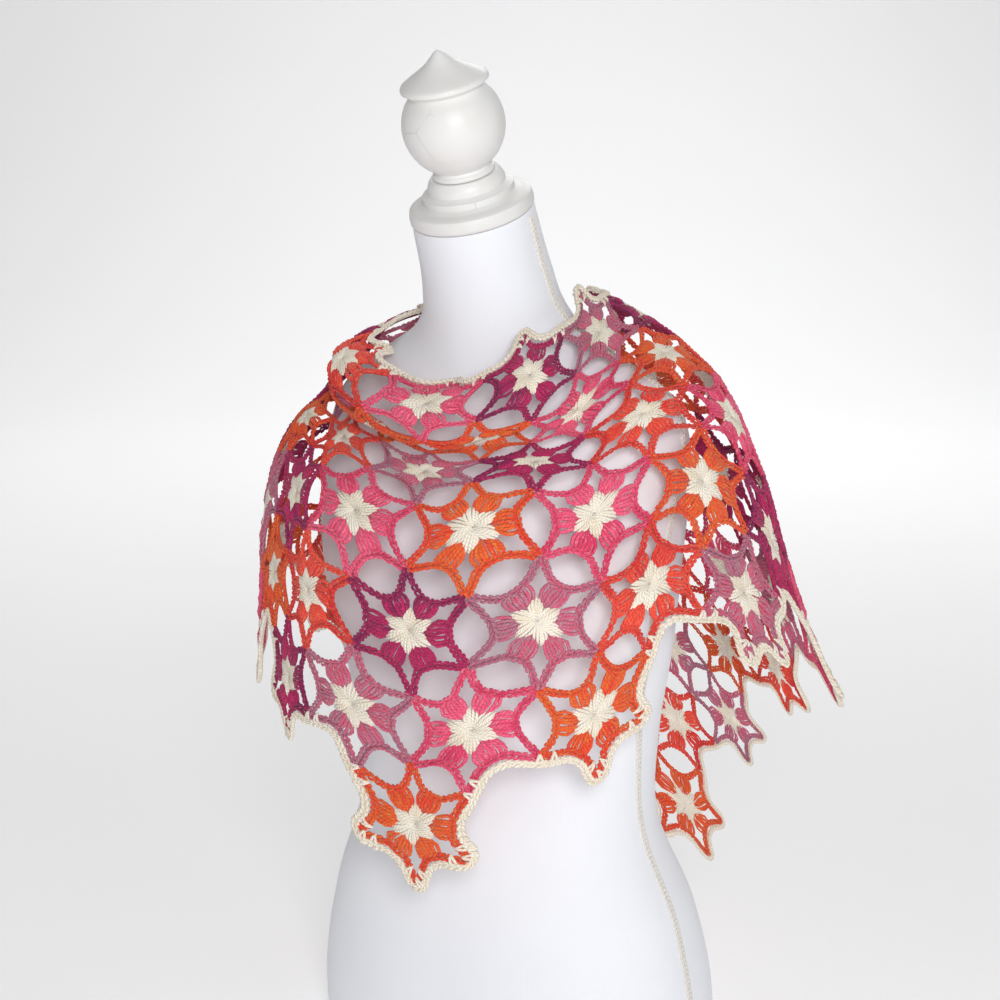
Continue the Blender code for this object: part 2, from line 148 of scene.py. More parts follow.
RIBS = (
    Rib(-9.5, -6.0, 14.5, 14.0, -130, 0.70, 30, 30, 30, 30, 30, 30, 30, 30),
    Rib(-8.0, -4.0, 15.0, 27.0, -122, 0.70, 30, 30, 30, 30, 30, 30, 30, 30),
    Rib(-6.5, -2.6, 15.0, 40.0, -106, 0.80, 30, 30, 35, 40, 45, 50, 50, 50),
    Rib(-5.0, -2.0, 14.0, 53.0, -82, 1.00, 20, 25, 30, 40, 50, 60, 55, 55),
    Rib(-4.0, -3.4, 12.5, 61.5, -63, 1.00, 15, 20, 25, 30, 42, 64, 72, 72),
    Rib(-3.0, -7.4, 7.3, 66.3, -53, 1.05, 22, 26, 30, 36, 50, 82, 86, 88),
    Rib(-2.0, -9.0, 2.0, 66.5, -37, 0.60, 10, 20, 55, 65, 35, 70, 88, 90),
    Rib(-1.0, -8.5, -6.5, 63.0, -11, 0.50, -15, 10, 100, 175, 40, 55, 88, 93),
    Rib(0.0, 1.4, -10.3, 61.5, 4, 0.42, 5, 15, 95, 180, 35, 65, 92, 93),
    Rib(1.0, 6.3, -8.0, 65.2, 38, 0.47, 20, 35, 80, 150, 10, 55, 90, 94),
    Rib(2.0, 6.6, 0.2, 68.6, 56, 0.55, 40, 30, 30, 35, 50, 78, 92, 95),
    Rib(3.0, 3.8, 7.5, 68.0, 82, 0.80, 15, 20, 26, 36, 55, 85, 88, 90),
    Rib(4.0, 1.6, 12.8, 61.5, 94, 0.95, 15, 20, 30, 40, 55, 75, 72, 72),
    Rib(5.0, 1.6, 14.2, 53.0, 103, 1.00, 20, 25, 35, 45, 55, 60, 50, 50),
    Rib(6.5, 2.6, 14.8, 41.0, 114, 0.80, 30, 30, 35, 40, 45, 50, 50, 50),
    Rib(8.0, 4.0, 14.8, 29.5, 123, 0.70, 30, 30, 30, 30, 30, 30, 30, 30),
    Rib(9.5, 6.0, 14.2, 17.5, 130, 0.70, 30, 30, 30, 30, 30, 30, 30, 30),
)


class FormSection(NamedTuple):
    """One ring of the dress form, in centimetres, with its tilt in degrees."""

    z: float
    y: float
    wide: float
    deep: float
    roundness: float
    lean: float


FORM_SECTIONS = (
    FormSection(0.0, 1.2, 18.7, 12.9, 2.2, 0),
    FormSection(5.0, 1.2, 18.9, 13.0, 2.2, 0),
    FormSection(14.0, 0.8, 17.3, 11.8, 2.2, 0),
    FormSection(23.0, -0.3, 14.2, 10.0, 2.1, 0),
    FormSection(30.0, -0.5, 14.4, 10.2, 2.1, 0),
    FormSection(38.0, -1.0, 15.7, 11.0, 2.2, 0),
    FormSection(46.0, -1.7, 16.8, 11.7, 2.2, 0),
    FormSection(52.0, -1.3, 17.3, 10.8, 2.2, 0),
    FormSection(57.0, -0.7, 17.2, 9.5, 2.1, 0),
    FormSection(60.0, -0.7, 16.2, 8.3, 1.9, 0),
    FormSection(62.0, -1.1, 13.8, 7.5, 1.7, 0),
    FormSection(63.5, -1.5, 11.2, 7.0, 1.6, 3),
    FormSection(65.0, -2.0, 8.6, 6.5, 1.7, 7),
    FormSection(67.0, -2.6, 6.5, 6.0, 1.9, 12),
    FormSection(70.0, -3.6, 5.6, 5.6, 2.0, 18),
    FormSection(75.4, -5.8, 5.2, 5.2, 2.0, 22),
)
NECK_TOP = FORM_SECTIONS[-1]

# Where a side seam crosses each height in cm: degrees forward of the form's widest point
SEAM_HEIGHTS_CM = (0.3, 14.0, 23.0, 35.0, 46.0, 55.0, 62.0, 68.0, 75.1)
SEAM_FORWARD_DEGREES = (5, 4, 4, 10, 6, -2, -4, -5, -6)

# Turned profiles: radius and height over the neck's top, in cm, from the top down
Profile = tuple[tuple[float, float], ...]
BALL_RADIUS_CM = 4.3
BALL_HEIGHT_CM = 7.8
BALL_TURNS = np.radians(np.linspace(46, 147, 9))
FINIAL_PROFILE_CM = (
    (0.0, 14.2),
    (0.35, 14.0),
    (1.3, 13.1),
    (2.6, 12.3),
    (3.6, 11.7),
    (3.7, 11.3),
    (3.2, 11.0),
    *((BALL_RADIUS_CM * sin(turn), BALL_HEIGHT_CM + BALL_RADIUS_CM * cos(turn)) for turn in BALL_TURNS),
    (2.6, 3.9),
    (2.6, 3.6),
    (0.0, 3.6),
)
NECK_CAP_PROFILE_CM = (
    (0.0, 3.55),
    (2.9, 3.55),
    (3.3, 2.5),
    (3.9, 2.2),
    (3.9, 1.7),
    (4.5, 1.4),
    (5.2, 1.2),
    (5.3, 0.2),
    (5.1, 0.03),
    (0.0, 0.03),
)


class Yarn(Enum):
    """The six yarns, each under its letter in the colour chart."""

    CREAM = "C"
    DARK_MAGENTA = "D"
    MAUVE = "M"
    PINK = "P"
    ORANGE = "O"
    CORAL_RED = "R"

    @property
    def slot(self) -> str:
        """Give the name of the record's material slot for this yarn."""
        return f"yarn_{self.name.lower()}"


# One letter to a motif, by row from the shawl's point up; a row's piece takes a slot for each of its yarns
# and one for cream
COLOUR_CHART = (
    "O",
    "DMPO",
    "PORDMRM",
    "ROMDPOPODP",
    "PMODORMDRPDMR",
    "ODPRODMOOPORDPOM",
    "PMRDOPMDRPDMDOPRMRO",
)


def math_node(operation: str, swapped: bool = False) -> Callable:
    """Make an operator that joins two values by one Math node.

    Args:
        operation: what the node does.
        swapped: whether the other value goes first.

    Returns:
        The operator, a method of Signal.
    """

    def join(self: "Signal", other: "Signal | float") -> "Signal":
        """Join this value and another."""
        first, second = (other, self) if swapped else (self, other)
        return self.graph.node("ShaderNodeMath", {"operation": operation}, {0: first, 1: second})

    return join


class Signal:
    """The output of a shader node, which adds and multiplies like a number."""

    __add__ = math_node("ADD")
    __radd__ = math_node("ADD", swapped=True)
    __sub__ = math_node("SUBTRACT")
    __rsub__ = math_node("SUBTRACT", swapped=True)
    __mul__ = math_node("MULTIPLY")
    __rmul__ = math_node("MULTIPLY", swapped=True)

    def __init__(self, graph: "NodeGraph", socket: bpy.types.NodeSocket) -> None:
        """Wrap one output socket of a graph."""
        self.graph = graph
        self.socket = socket

    def sine(self) -> "Signal":
        """Give the sine."""
        return self.graph.node("ShaderNodeMath", {"operation": "SINE"}, {0: self})

    def absolute(self) -> "Signal":
        """Give the size without its sign."""
        return self.graph.node("ShaderNodeMath", {"operation": "ABSOLUTE"}, {0: self})

    def between(self, low: float, high: float) -> "Signal":
        """Rise smoothly from 0 at low to 1 at high."""
        values = {0: self, 1: low, 2: high}
        return self.graph.node("ShaderNodeMapRange", {"interpolation_type": "SMOOTHSTEP"}, values)


Colour = tuple[float, float, float]


class NodeGraph:
    """A material's node tree, built one node at a time."""

    def __init__(self, name: str) -> None:
        """Make an empty Principled material under a name."""
        self.material = bpy.data.materials.new(name)
        self.material.use_nodes = True
        self.tree = self.material.node_tree
        self.shader = self.tree.nodes["Principled BSDF"]

    def node(
        self, kind: str, settings: dict[str, object], values: dict[int | str, object], output: int | str = 0
    ) -> Signal:
        """Add a node.

        Args:
            kind: the node's type.
            settings: properties, which are set first.
            values: what goes into each input, a number, a vector or a Signal.
            output: the output that is wanted.

        Returns:
            The node's output.
        """
        made = self.tree.nodes.new(kind)
        for name, value in settings.items():
            setattr(made, name, value)
        for key, value in values.items():
            if isinstance(value, Signal):
                self.tree.links.new(value.socket, made.inputs[key])
            else:
                made.inputs[key].default_value = value
        return Signal(self, made.outputs[output])

    def place(self) -> Signal:
        """Give the place on the piece, in metres."""
        return self.node("ShaderNodeTexCoord", {}, {}, "Object")

    def attribute(self, name: str) -> Signal:
        """Give a number that the piece's mesh holds."""
        return self.node("ShaderNodeAttribute", {"attribute_name": name}, {}, "Fac")

    def flat_map(self, name: str) -> Signal:
        """Give the place on one of the piece's own flat maps."""
        return self.node("ShaderNodeUVMap", {"uv_map": name}, {})

    def parts(self, vector: Signal) -> list[Signal]:
        """Split a vector into its three numbers."""
        made = self.node("ShaderNodeSeparateXYZ", {}, {0: vector}).socket.node
        return [Signal(self, output) for output in made.outputs]

    def vector(self, x: Signal | float, y: Signal | float, z: Signal | float) -> Signal:
        """Join three numbers into a vector."""
        return self.node("ShaderNodeCombineXYZ", {}, {0: x, 1: y, 2: z})

    def noise(self, place: Signal, scale: float, detail: float = 2.0) -> Signal:
        """Give soft noise from 0 to 1.

        Args:
            place: the vector that it varies over.
            scale: its grains to a unit of that vector.
            detail: how many finer layers it has.

        Returns:
            The noise.
        """
        return self.node("ShaderNodeTexNoise", {}, {"Vector": place, "Scale": scale, "Detail": detail})

    def mix(self, factor: Signal | float, first: Signal | Colour, second: Signal | Colour) -> Signal:
        """Mix two colours.

        Args:
            factor: 0 for the first, 1 for the second.
            first: a colour, or a Signal that gives one.
            second: likewise.

        Returns:
            The mixed colour.
        """
        pair = [item if isinstance(item, Signal) else (*item, 1.0) for item in (first, second)]
        return self.node("ShaderNodeMix", {"data_type": "RGBA"}, {0: factor, 6: pair[0], 7: pair[1]}, 2)

    def wear(self, colour: Signal, height: Signal, relief: float, roughness: float, sheen: float) -> None:
        """Feed the shader.

        Args:
            colour: the base colour.
            height: the surface's height, from 0 to 1.
            relief: what a height of 1 stands for, in metres.
            roughness: the shader's roughness.
            sheen: the weight of its sheen.
        """
        bump = self.node("ShaderNodeBump", {}, {"Strength": 1.0, "Distance": relief, "Height": height})
        self.tree.links.new(bump.socket, self.shader.inputs["Normal"])
        self.tree.links.new(colour.socket, self.shader.inputs["Base Color"])
        self.shader.inputs["Roughness"].default_value = roughness
        self.shader.inputs["Sheen Weight"].default_value = sheen
        self.shader.inputs["Sheen Roughness"].default_value = 0.5


@dataclass(frozen=True)
class YarnFinish:
    """Twisted, heathered yarn, whose colour drifts slowly along its length.

    The streaks are counted to a centimetre along the yarn, to a turn round it and to a tone of 1.
    """

    yarn: Yarn
    deep: Colour
    bright: Colour
    fleck: Colour
    fleck_share: float
    twists_per_cm: float = 3.4
    plies: float = 2.0
    streaks: Colour = (2.4, 6.0, 7.0)
    clouds_per_metre: float = 45.0
    cloudiness: float = 0.8
    fuzz_per_metre: float = 1400.0
    # Shade painted into the grooves between the plies: how strongly it is mixed in, and how dark it is
    # against the deep colour
    groove_shade_strength: float = 0.35
    groove_shade_tone: float = 0.45
    relief: float = 0.0005

    def material(self) -> bpy.types.Material:
        """Make the material, which reads the strand's own map and its tone."""
        graph = NodeGraph(self.yarn.slot)
        along, around, _ = graph.parts(graph.flat_map("yarn"))
        tone = graph.attribute("tone")
        cloud = graph.noise(graph.place(), self.clouds_per_metre)
        drift = (tone + cloud * self.cloudiness - self.cloudiness / 2).between(0.15, 0.85)
        drifted = graph.mix(drift, self.deep, self.bright)
        spots = [value * rate for value, rate in zip((along, around, tone), self.streaks)]
        streaks = graph.noise(graph.vector(*spots), 1.0, 3.0)
        low = 0.62 - 0.3 * self.fleck_share
        flecked = graph.mix(streaks.between(low, low + 0.12) * 0.8, drifted, self.fleck)
        turn = (along * self.twists_per_cm + around * self.plies + cloud * self.cloudiness) * (2 * pi)
        ply = turn.sine() * 0.5 + 0.5
        # Painted shade: where each ply twists away, the colour is mixed towards a darker copy of the deep
        # colour
        shade = tuple(self.groove_shade_tone * value for value in self.deep)
        groove_shaded = graph.mix((1.0 - ply).between(0.5, 1.0) * self.groove_shade_strength, flecked, shade)
        fuzz = graph.noise(graph.place(), self.fuzz_per_metre)
        graph.wear(groove_shaded, ply * 0.75 + fuzz * 0.5, self.relief, roughness=0.85, sheen=0.12)
        return graph.material


YARN_FINISHES = (
    YarnFinish(Yarn.CREAM, (0.90, 0.79, 0.62), (0.98, 0.90, 0.77), (0.98, 0.95, 0.88), 0.3),
    YarnFinish(Yarn.DARK_MAGENTA, (0.25, 0.007, 0.085), (0.50, 0.010, 0.110), (0.70, 0.030, 0.16), 0.35),
    YarnFinish(Yarn.MAUVE, (0.50, 0.145, 0.23), (0.74, 0.105, 0.20), (0.50, 0.28, 0.35), 0.45),
    YarnFinish(Yarn.PINK, (0.76, 0.035, 0.130), (0.93, 0.110, 0.235), (0.96, 0.28, 0.36), 0.3),
    YarnFinish(Yarn.ORANGE, (0.86, 0.050, 0.020), (0.88, 0.120, 0.022), (0.80, 0.27, 0.045), 0.3),
    YarnFinish(Yarn.CORAL_RED, (0.76, 0.024, 0.024), (0.93, 0.078, 0.042), (0.95, 0.22, 0.11), 0.3),
)


@dataclass(frozen=True)
class JerseyFinish:
    """Fine white knitted jersey, in columns of small stitches."""

    colour: Colour = (0.89, 0.91, 0.95)
    shade: Colour = (0.83, 0.84, 0.90)
    columns_per_metre: float = 900.0
    rows_to_a_column: float = 1.3
    column_bend: float = 1.2
    patches_per_metre: float = 9.0
    lint_per_metre: float = 700.0
    relief: float = 0.0002

    def material(self) -> bpy.types.Material:
        """Make the material from the map that runs round the form and up it."""
        graph = NodeGraph("white_jersey")
        across, up, _ = graph.parts(graph.flat_map("cloth"))
        column = (across * (self.columns_per_metre * pi)).sine().absolute()
        rows = up * (self.columns_per_metre * self.rows_to_a_column * pi)
        stitch = (rows + column * self.column_bend).sine().absolute()
        patches = graph.noise(graph.place(), self.patches_per_metre)
        lint = graph.noise(graph.place(), self.lint_per_metre)
        shading = patches.between(0.35, 0.7) * 0.25 + (1.0 - stitch) * 0.12
        height = column * 0.5 + stitch * 0.3 + lint * 0.3
        colour = graph.mix(shading, self.colour, self.shade)
        graph.wear(colour, height, self.relief, roughness=0.9, sheen=0.15)
        return graph.material


@dataclass(frozen=True)
class PaintFinish:
    """White brushed paint on turned wood, a little yellowed, with fine cracks."""

    colour: Colour = (0.78, 0.775, 0.765)
    yellowed: Colour = (0.73, 0.70, 0.65)
    crack: Colour = (0.55, 0.50, 0.45)
    brush_marks_per_metre: Colour = (60.0, 60.0, 900.0)
    stains_per_metre: float = 28.0
    cracks_per_metre: float = 34.0
    cracked_spots_per_metre: float = 19.0
    crack_width: float = 0.012
    relief: float = 0.0003

    def material(self) -> bpy.types.Material:
        """Make the material from the place on the piece."""
        graph = NodeGraph("white_painted_wood")
        place = graph.place()
        spots = [value * rate for value, rate in zip(graph.parts(place), self.brush_marks_per_metre)]
        brushed = graph.noise(graph.vector(*spots), 1.0, 3.0)
        aged = graph.noise(place, self.stains_per_metre)
        edges = {"Vector": place, "Scale": self.cracks_per_metre}
        cells = graph.node("ShaderNodeTexVoronoi", {"feature": "DISTANCE_TO_EDGE"}, edges)
        rare = graph.noise(place, self.cracked_spots_per_metre).between(0.60, 0.68)
        cracks = (1.0 - cells.between(0.0, self.crack_width)) * rare
        worn = graph.mix(aged.between(0.45, 0.8) * 0.6, self.colour, self.yellowed)
        colour = graph.mix(cracks * 0.7, worn, self.crack)
        height = brushed * 0.6 + aged * 0.3 - cracks * 0.6
        graph.wear(colour, height, self.relief, roughness=0.42, sheen=0.0)
        return graph.material


@dataclass(frozen=True)
class CottonCordFinish:
    """Beige cotton herringbone cord."""

    colour: Colour = (0.95, 0.93, 0.89)
    shade: Colour = (0.72, 0.66, 0.57)
    twists_per_cm: float = 6.0
    plies: float = 2.0
    lint_per_metre: float = 900.0
    relief: float = 0.0004

    def material(self) -> bpy.types.Material:
        """Make the material, which reads the strand's own map."""
        graph = NodeGraph("beige_cotton_cord")
        along, around, _ = graph.parts(graph.flat_map("yarn"))
        ply = ((along * self.twists_per_cm + around * self.plies) * (2 * pi)).sine() * 0.5 + 0.5
        lint = graph.noise(graph.place(), self.lint_per_metre)
        colour = graph.mix(ply * 0.7 + lint * 0.5, self.shade, self.colour)
        graph.wear(colour, ply * 0.7 + lint * 0.4, self.relief, roughness=0.85, sheen=0.1)
        return graph.material


def unit(vectors: np.ndarray) -> np.ndarray:
    """Bring vectors to a length of 1."""
    return vectors / np.linalg.norm(vectors, axis=-1, keepdims=True)


def quarter_turned(ahead: np.ndarray) -> np.ndarray:
    """Give the flat directions a quarter turn to the left of some others."""
    return np.stack([-ahead[..., 1], ahead[..., 0], np.zeros(ahead.shape[:-1])], axis=-1)


def turned(points: np.ndarray, angle: float) -> np.ndarray:
    """Turn flat points about the middle by an angle."""
    c, s = cos(angle), sin(angle)
    x, y = points[..., 0], points[..., 1]
    return np.stack([c * x - s * y, s * x + c * y, points[..., 2]], axis=-1)


def walked(path: np.ndarray) -> np.ndarray:
    """Give the distance from a path's start to each of its points."""
    return np.concatenate([[0], np.cumsum(np.linalg.norm(np.diff(path, axis=0), axis=1))])


def along_path(path: np.ndarray, spots: np.ndarray) -> tuple[np.ndarray, np.ndarray]:
    """Read places and directions at distances along a path.

    Args:
        path: its points.
        spots: distances from its start.

    Returns:
        The places and the unit directions there.
    """
    walk = walked(path)
    slopes = np.gradient(path, walk, axis=0)
    places = np.stack([np.interp(spots, walk, path[:, k]) for k in range(3)], axis=-1)
    ahead = np.stack([np.interp(spots, walk, slopes[:, k]) for k in range(3)], axis=-1)
    return places, unit(ahead)


def smooth_rows(at: np.ndarray, places: list[float], rows: list) -> np.ndarray:
    """Read a table between its rows along smooth cubic curves.

    Args:
        at: where to read it.
        places: the place of each row.
        rows: the rows.

    Returns:
        One row of values for each place asked for.
    """
    places = np.asarray(places, float)
    rows = np.asarray(rows, float)
    gaps = np.diff(places)[:, None]
    rates = np.diff(rows, axis=0) / gaps
    slopes = np.zeros_like(rows)
    slopes[1:-1] = (rates[:-1] * gaps[1:] + rates[1:] * gaps[:-1]) / (gaps[:-1] + gaps[1:])
    slopes[0] = rates[0]
    slopes[-1] = rates[-1]
    low = np.clip(np.searchsorted(places, at) - 1, 0, len(places) - 2)
    gap = (places[low + 1] - places[low])[:, None]
    t = (at[:, None] - places[low][:, None]) / gap
    start = (2 * t**3 - 3 * t**2 + 1) * rows[low] + (t**3 - 2 * t**2 + t) * gap * slopes[low]
    end = (3 * t**2 - 2 * t**3) * rows[low + 1] + (t**3 - t**2) * gap * slopes[low + 1]
    return start + end


def linked(name: str, data: bpy.types.ID) -> bpy.types.Object:
    """Make an object of some data and put it in the scene."""
    made = bpy.data.objects.new(name, data)
    bpy.context.scene.collection.objects.link(made)
    return made


def smooth_mesh(shape: bmesh.types.BMesh, name: str, material: bpy.types.Material) -> bpy.types.Mesh:
    """Turn a bmesh into a smooth mesh of one material, and free it."""
    mesh = bpy.data.meshes.new(name)
    shape.to_mesh(mesh)
    shape.free()
    mesh.materials.append(material)
    mesh.shade_smooth()
    return mesh


class Drape:
    """Lays the flat shawl over the dress form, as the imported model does."""

    def __init__(self) -> None:
        """Follow every rib down on a fine grid."""
        self.stations = np.arange(-STATION_END, STATION_END + RIB_STEP / 2, RIB_STEP)
        self.depths = np.arange(-EDGE_ALLOWANCE, DROP_END + DROP_STEP / 2, DROP_STEP)
        values = smooth_rows(self.stations, [rib.station for rib in RIBS], [rib[1:] for rib in RIBS])
        depths_cm = self.depths / CM
        slope = np.radians([np.interp(depths_cm, SLOPE_DEPTHS_CM, row) for row in values[:, 5:]])
        gather = values[:, 4]
        full = np.ones_like(gather)
        eases = np.stack([full, full, gather, gather, full, full], axis=-1)
        step = DROP_STEP * np.array([np.interp(depths_cm, GATHER_DEPTHS_CM, row) for row in eases])
        out = np.cumsum(step * np.cos(slope), axis=1)
        down = np.cumsum(step * np.sin(slope), axis=1)
        edge = int(round(EDGE_ALLOWANCE / DROP_STEP))
        out -= out[:, edge : edge + 1]
        down -= down[:, edge : edge + 1]
        bearing = np.radians(values[:, 3])[:, None]
        x = values[:, 0:1] * CM + out * np.sin(bearing)
        y = values[:, 1:2] * CM - out * np.cos(bearing)
        z = values[:, 2:3] * CM - down
        self.points = np.stack([x, y, z], axis=-1)
        self.normals = unit(np.cross(np.gradient(self.points, axis=1), np.gradient(self.points, axis=0)))

    @staticmethod
    def loosened(flat: np.ndarray) -> np.ndarray:
        """Give flat points the uneven stretch of handwork, and creases where the collar bunches."""
        x, y, lift = flat.T
        depth = NECK_LINE - y
        collar = np.exp(-(((depth - COLLAR_DEPTH) / COLLAR_SPREAD) ** 2) - (x / COLLAR_REACH) ** 2)
        waves = sum(crease.at(x, y) for crease in CREASES)
        raised = lift + (CLOTH_CREASE + COLLAR_CREASE * collar) * waves
        return np.column_stack([x + STRETCH_X.at(x, y), y + STRETCH_Y.at(x, y), raised])

    def place(self, flat: np.ndarray) -> np.ndarray:
        """Drape flat points.

        Args:
            flat: x along the neck edge, y up from the lowest motif, and the lift off the cloth.

        Returns:
            Their draped places.
        """
        flat = self.loosened(flat)
        column = (flat[:, 0] / PITCH - self.stations[0]) / RIB_STEP
        line = (NECK_LINE - flat[:, 1] - self.depths[0]) / DROP_STEP
        i = np.clip(np.floor(column).astype(int), 0, len(self.stations) - 2)
        j = np.clip(np.floor(line).astype(int), 0, len(self.depths) - 2)
        a = (column - i)[:, None]
        b = (line - j)[:, None]

        def blend(grid: np.ndarray) -> np.ndarray:
            """Mix the four grid values round each point."""
            left = (1 - b) * grid[i, j] + b * grid[i, j + 1]
            right = (1 - b) * grid[i + 1, j] + b * grid[i + 1, j + 1]
            return (1 - a) * left + a * right

        return blend(self.points) + flat[:, 2:3] * unit(blend(self.normals))


class Skein:
    """Lengths of yarn, gathered as round strands and made into one mesh."""

    def __init__(self) -> None:
        """Start with no yarn."""
        self.points: list[np.ndarray] = []
        self.tones: list[np.ndarray] = []
        self.faces: list[list[tuple[int, ...]]] = []
        self.maps: list[np.ndarray] = []
        self.slots: list[np.ndarray] = []
        self.count = 0

    def lay(
        self,
        lines: np.ndarray,
        widths: np.ndarray | float,
        tones: np.ndarray | float,
        start_cm: np.ndarray,
        slot: int = 0,
    ) -> None:
        """Lay several strands with the same number of points.

        Args:
            lines: their middle lines, as strands by points by three.
            widths: their half widths, as strands by points or what spreads to that.
            tones: their tones, likewise.
            start_cm: where on the yarn each strand starts.
            slot: the material slot.
        """
        strands, length, _ = lines.shape
        widths = np.broadcast_to(widths, (strands, length))
        tones = np.broadcast_to(tones, (strands, length))
        ahead = unit(np.gradient(lines, axis=1))
        across = unit(quarter_turned(ahead))
        raised = np.cross(ahead, across)
        angles = 2 * pi * np.arange(STRAND_SIDES) / STRAND_SIDES
        spread = np.cos(angles)[:, None] * across[:, :, None] + np.sin(angles)[:, None] * raised[:, :, None]
        rings = (lines[:, :, None] + widths[:, :, None, None] * spread).reshape(strands, -1, 3)
        heads = lines[:, :1] - ahead[:, :1] * widths[:, :1, None] * STRAND_END
        ends = lines[:, -1:] + ahead[:, -1:] * widths[:, -1:, None] * STRAND_END
        steps = np.linalg.norm(np.diff(lines, axis=1), axis=-1)
        along = np.concatenate([np.zeros((strands, 1)), np.cumsum(steps, axis=1)], axis=1) / CM
        along += start_cm[:, None]
        faces, map_rows, map_turns = self._net(length)
        turns = np.broadcast_to(map_turns, (strands, len(map_turns)))
        each = length * STRAND_SIDES + 2
        for k in range(strands):
            base = self.count + k * each
            self.faces.append([tuple(base + index for index in face) for face in faces])
        self.maps.append(np.stack([along[:, map_rows], turns], axis=-1).reshape(-1, 2))
        self.slots.append(np.full(strands * len(faces), slot))
        self.points.append(np.concatenate([rings, heads, ends], axis=1).reshape(-1, 3))
        ringed = np.repeat(tones, STRAND_SIDES, axis=1)
        self.tones.append(np.concatenate([ringed, tones[:, :1], tones[:, -1:]], axis=1).reshape(-1))
        self.count += strands * each

    @staticmethod
    def _net(length: int) -> tuple[list[tuple[int, ...]], np.ndarray, np.ndarray]:
        """Give a strand's faces, and the row and turn of each of their corners."""
        sides = STRAND_SIDES
        faces, rows, turns = [], [], []
        for i in range(length - 1):
            for k in range(sides):
                after = (k + 1) % sides
                low, high = i * sides, (i + 1) * sides
                faces.append((low + k, low + after, high + after, high + k))
                rows += [i, i, i + 1, i + 1]
                turns += [k, k + 1, k + 1, k]
        head, end, last = length * sides, length * sides + 1, (length - 1) * sides
        for k in range(sides):
            after = (k + 1) % sides
            faces.append((head, after, k))
            faces.append((end, last + k, last + after))
            rows += [0, 0, 0, length - 1, length - 1, length - 1]
            turns += [k, k + 1, k, k, k, k + 1]
        return faces, np.array(rows), np.array(turns) / sides

    def copy_in(self, other: "Skein", flat: np.ndarray, tones: np.ndarray, slot: int) -> None:
        """Take in a copy of another skein's strands.

        Args:
            other: the skein.
            flat: the places of the copy's points.
            tones: their tones.
            slot: what its slot 0 becomes, while its slot 1 becomes slot 0.
        """
        self.slots.append(np.where(np.concatenate(other.slots) == 1, 0, slot))
        self.faces.append([tuple(self.count + i for i in face) for group in other.faces for face in group])
        self.maps.extend(other.maps)
        self.tones.append(tones)
        self.points.append(flat)
        self.count += len(flat)

    def piece(
        self, name: str, lay_out: Callable[[np.ndarray], np.ndarray], materials: list[bpy.types.Material]
    ) -> bpy.types.Object:
        """Make the object.

        Args:
            name: its name.
            lay_out: what brings the flat points to their places.
            materials: what its slots hold.

        Returns:
            The object.
        """
        mesh = bpy.data.meshes.new(name)
        faces = [face for group in self.faces for face in group]
        mesh.from_pydata(lay_out(np.concatenate(self.points)), [], faces)
        for material in materials:
            mesh.materials.append(material)
        mesh.polygons.foreach_set("material_index", np.concatenate(self.slots).astype(np.int32))
        strand_map = mesh.uv_layers.new(name="yarn")
        strand_map.uv.foreach_set("vector", np.concatenate(self.maps).astype(np.float32).ravel())
        tone = mesh.attributes.new("tone", "FLOAT", "POINT")
        tone.data.foreach_set("value", np.concatenate(self.tones).astype(np.float32))
        mesh.shade_smooth()
        mesh.update()
        log.info("%s: %d faces", name, len(faces))
        return linked(name, mesh)


@dataclass(frozen=True)
class Chain:
    """A crocheted chain: a core with a pair of slanting legs for each stitch."""

    stitch: float = 0.005
    leg_reach: float = 0.0024
    leg_half_width: float = 0.00131
    core_half_width: float = 0.0010
    core_drop: float = 0.0004
    lift: float = 0.0006
    leg_spots: tuple[float, ...] = (0.0, 0.35, 0.75, 1.2)
    leg_spread: tuple[float, ...] = (1.0, 0.95, 0.6, 0.2)
    leg_rise_mm: tuple[float, ...] = (0.1, 0.9, 1.3, 0.6)
    leg_widths: tuple[float, ...] = (0.65, 1.0, 1.0, 0.6)

    def work(self, skein: Skein, path: np.ndarray, tone: float, rng: np.random.Generator) -> None:
        """Work the chain along a path.

        Args:
            skein: what takes the strands.
            path: the middle line.
            tone: the yarn's tone.
            rng: the source of the small uneven steps.
        """
        length = float(np.linalg.norm(np.diff(path, axis=0), axis=1).sum())
        count = max(2, round(length / self.stitch))
        pitch = length / count
        spots = ((np.arange(count) - 0.1) * pitch)[:, None] + np.array(self.leg_spots) * pitch
        places, ahead = along_path(path, np.clip(spots.ravel(), 0, length))
        places = places.reshape(count, -1, 3)
        across = quarter_turned(ahead.reshape(count, -1, 3))
        out = np.array(self.leg_spread) * self.leg_reach
        rise = np.array(self.leg_rise_mm) * MM + self.lift
        widths = np.array(self.leg_widths) * self.leg_half_width
        for hand in (1, -1):
            lines = places + across * (hand * out)[None, :, None]
            lines[..., 2] += rise + rng.normal(0, 0.00015, (count, 1))
            lines[..., :2] += rng.normal(0, 0.0002, (count, 1, 2))
            tones = tone + rng.normal(0, 0.08, (count, 1))
            skein.lay(lines, widths, tones, rng.uniform(0, BALL_CM, count))
        core, _ = along_path(path, np.linspace(0, length, max(4, count)))
        core[:, 2] += self.lift - self.core_drop
        skein.lay(core[None], self.core_half_width, tone, rng.uniform(0, BALL_CM, 1))


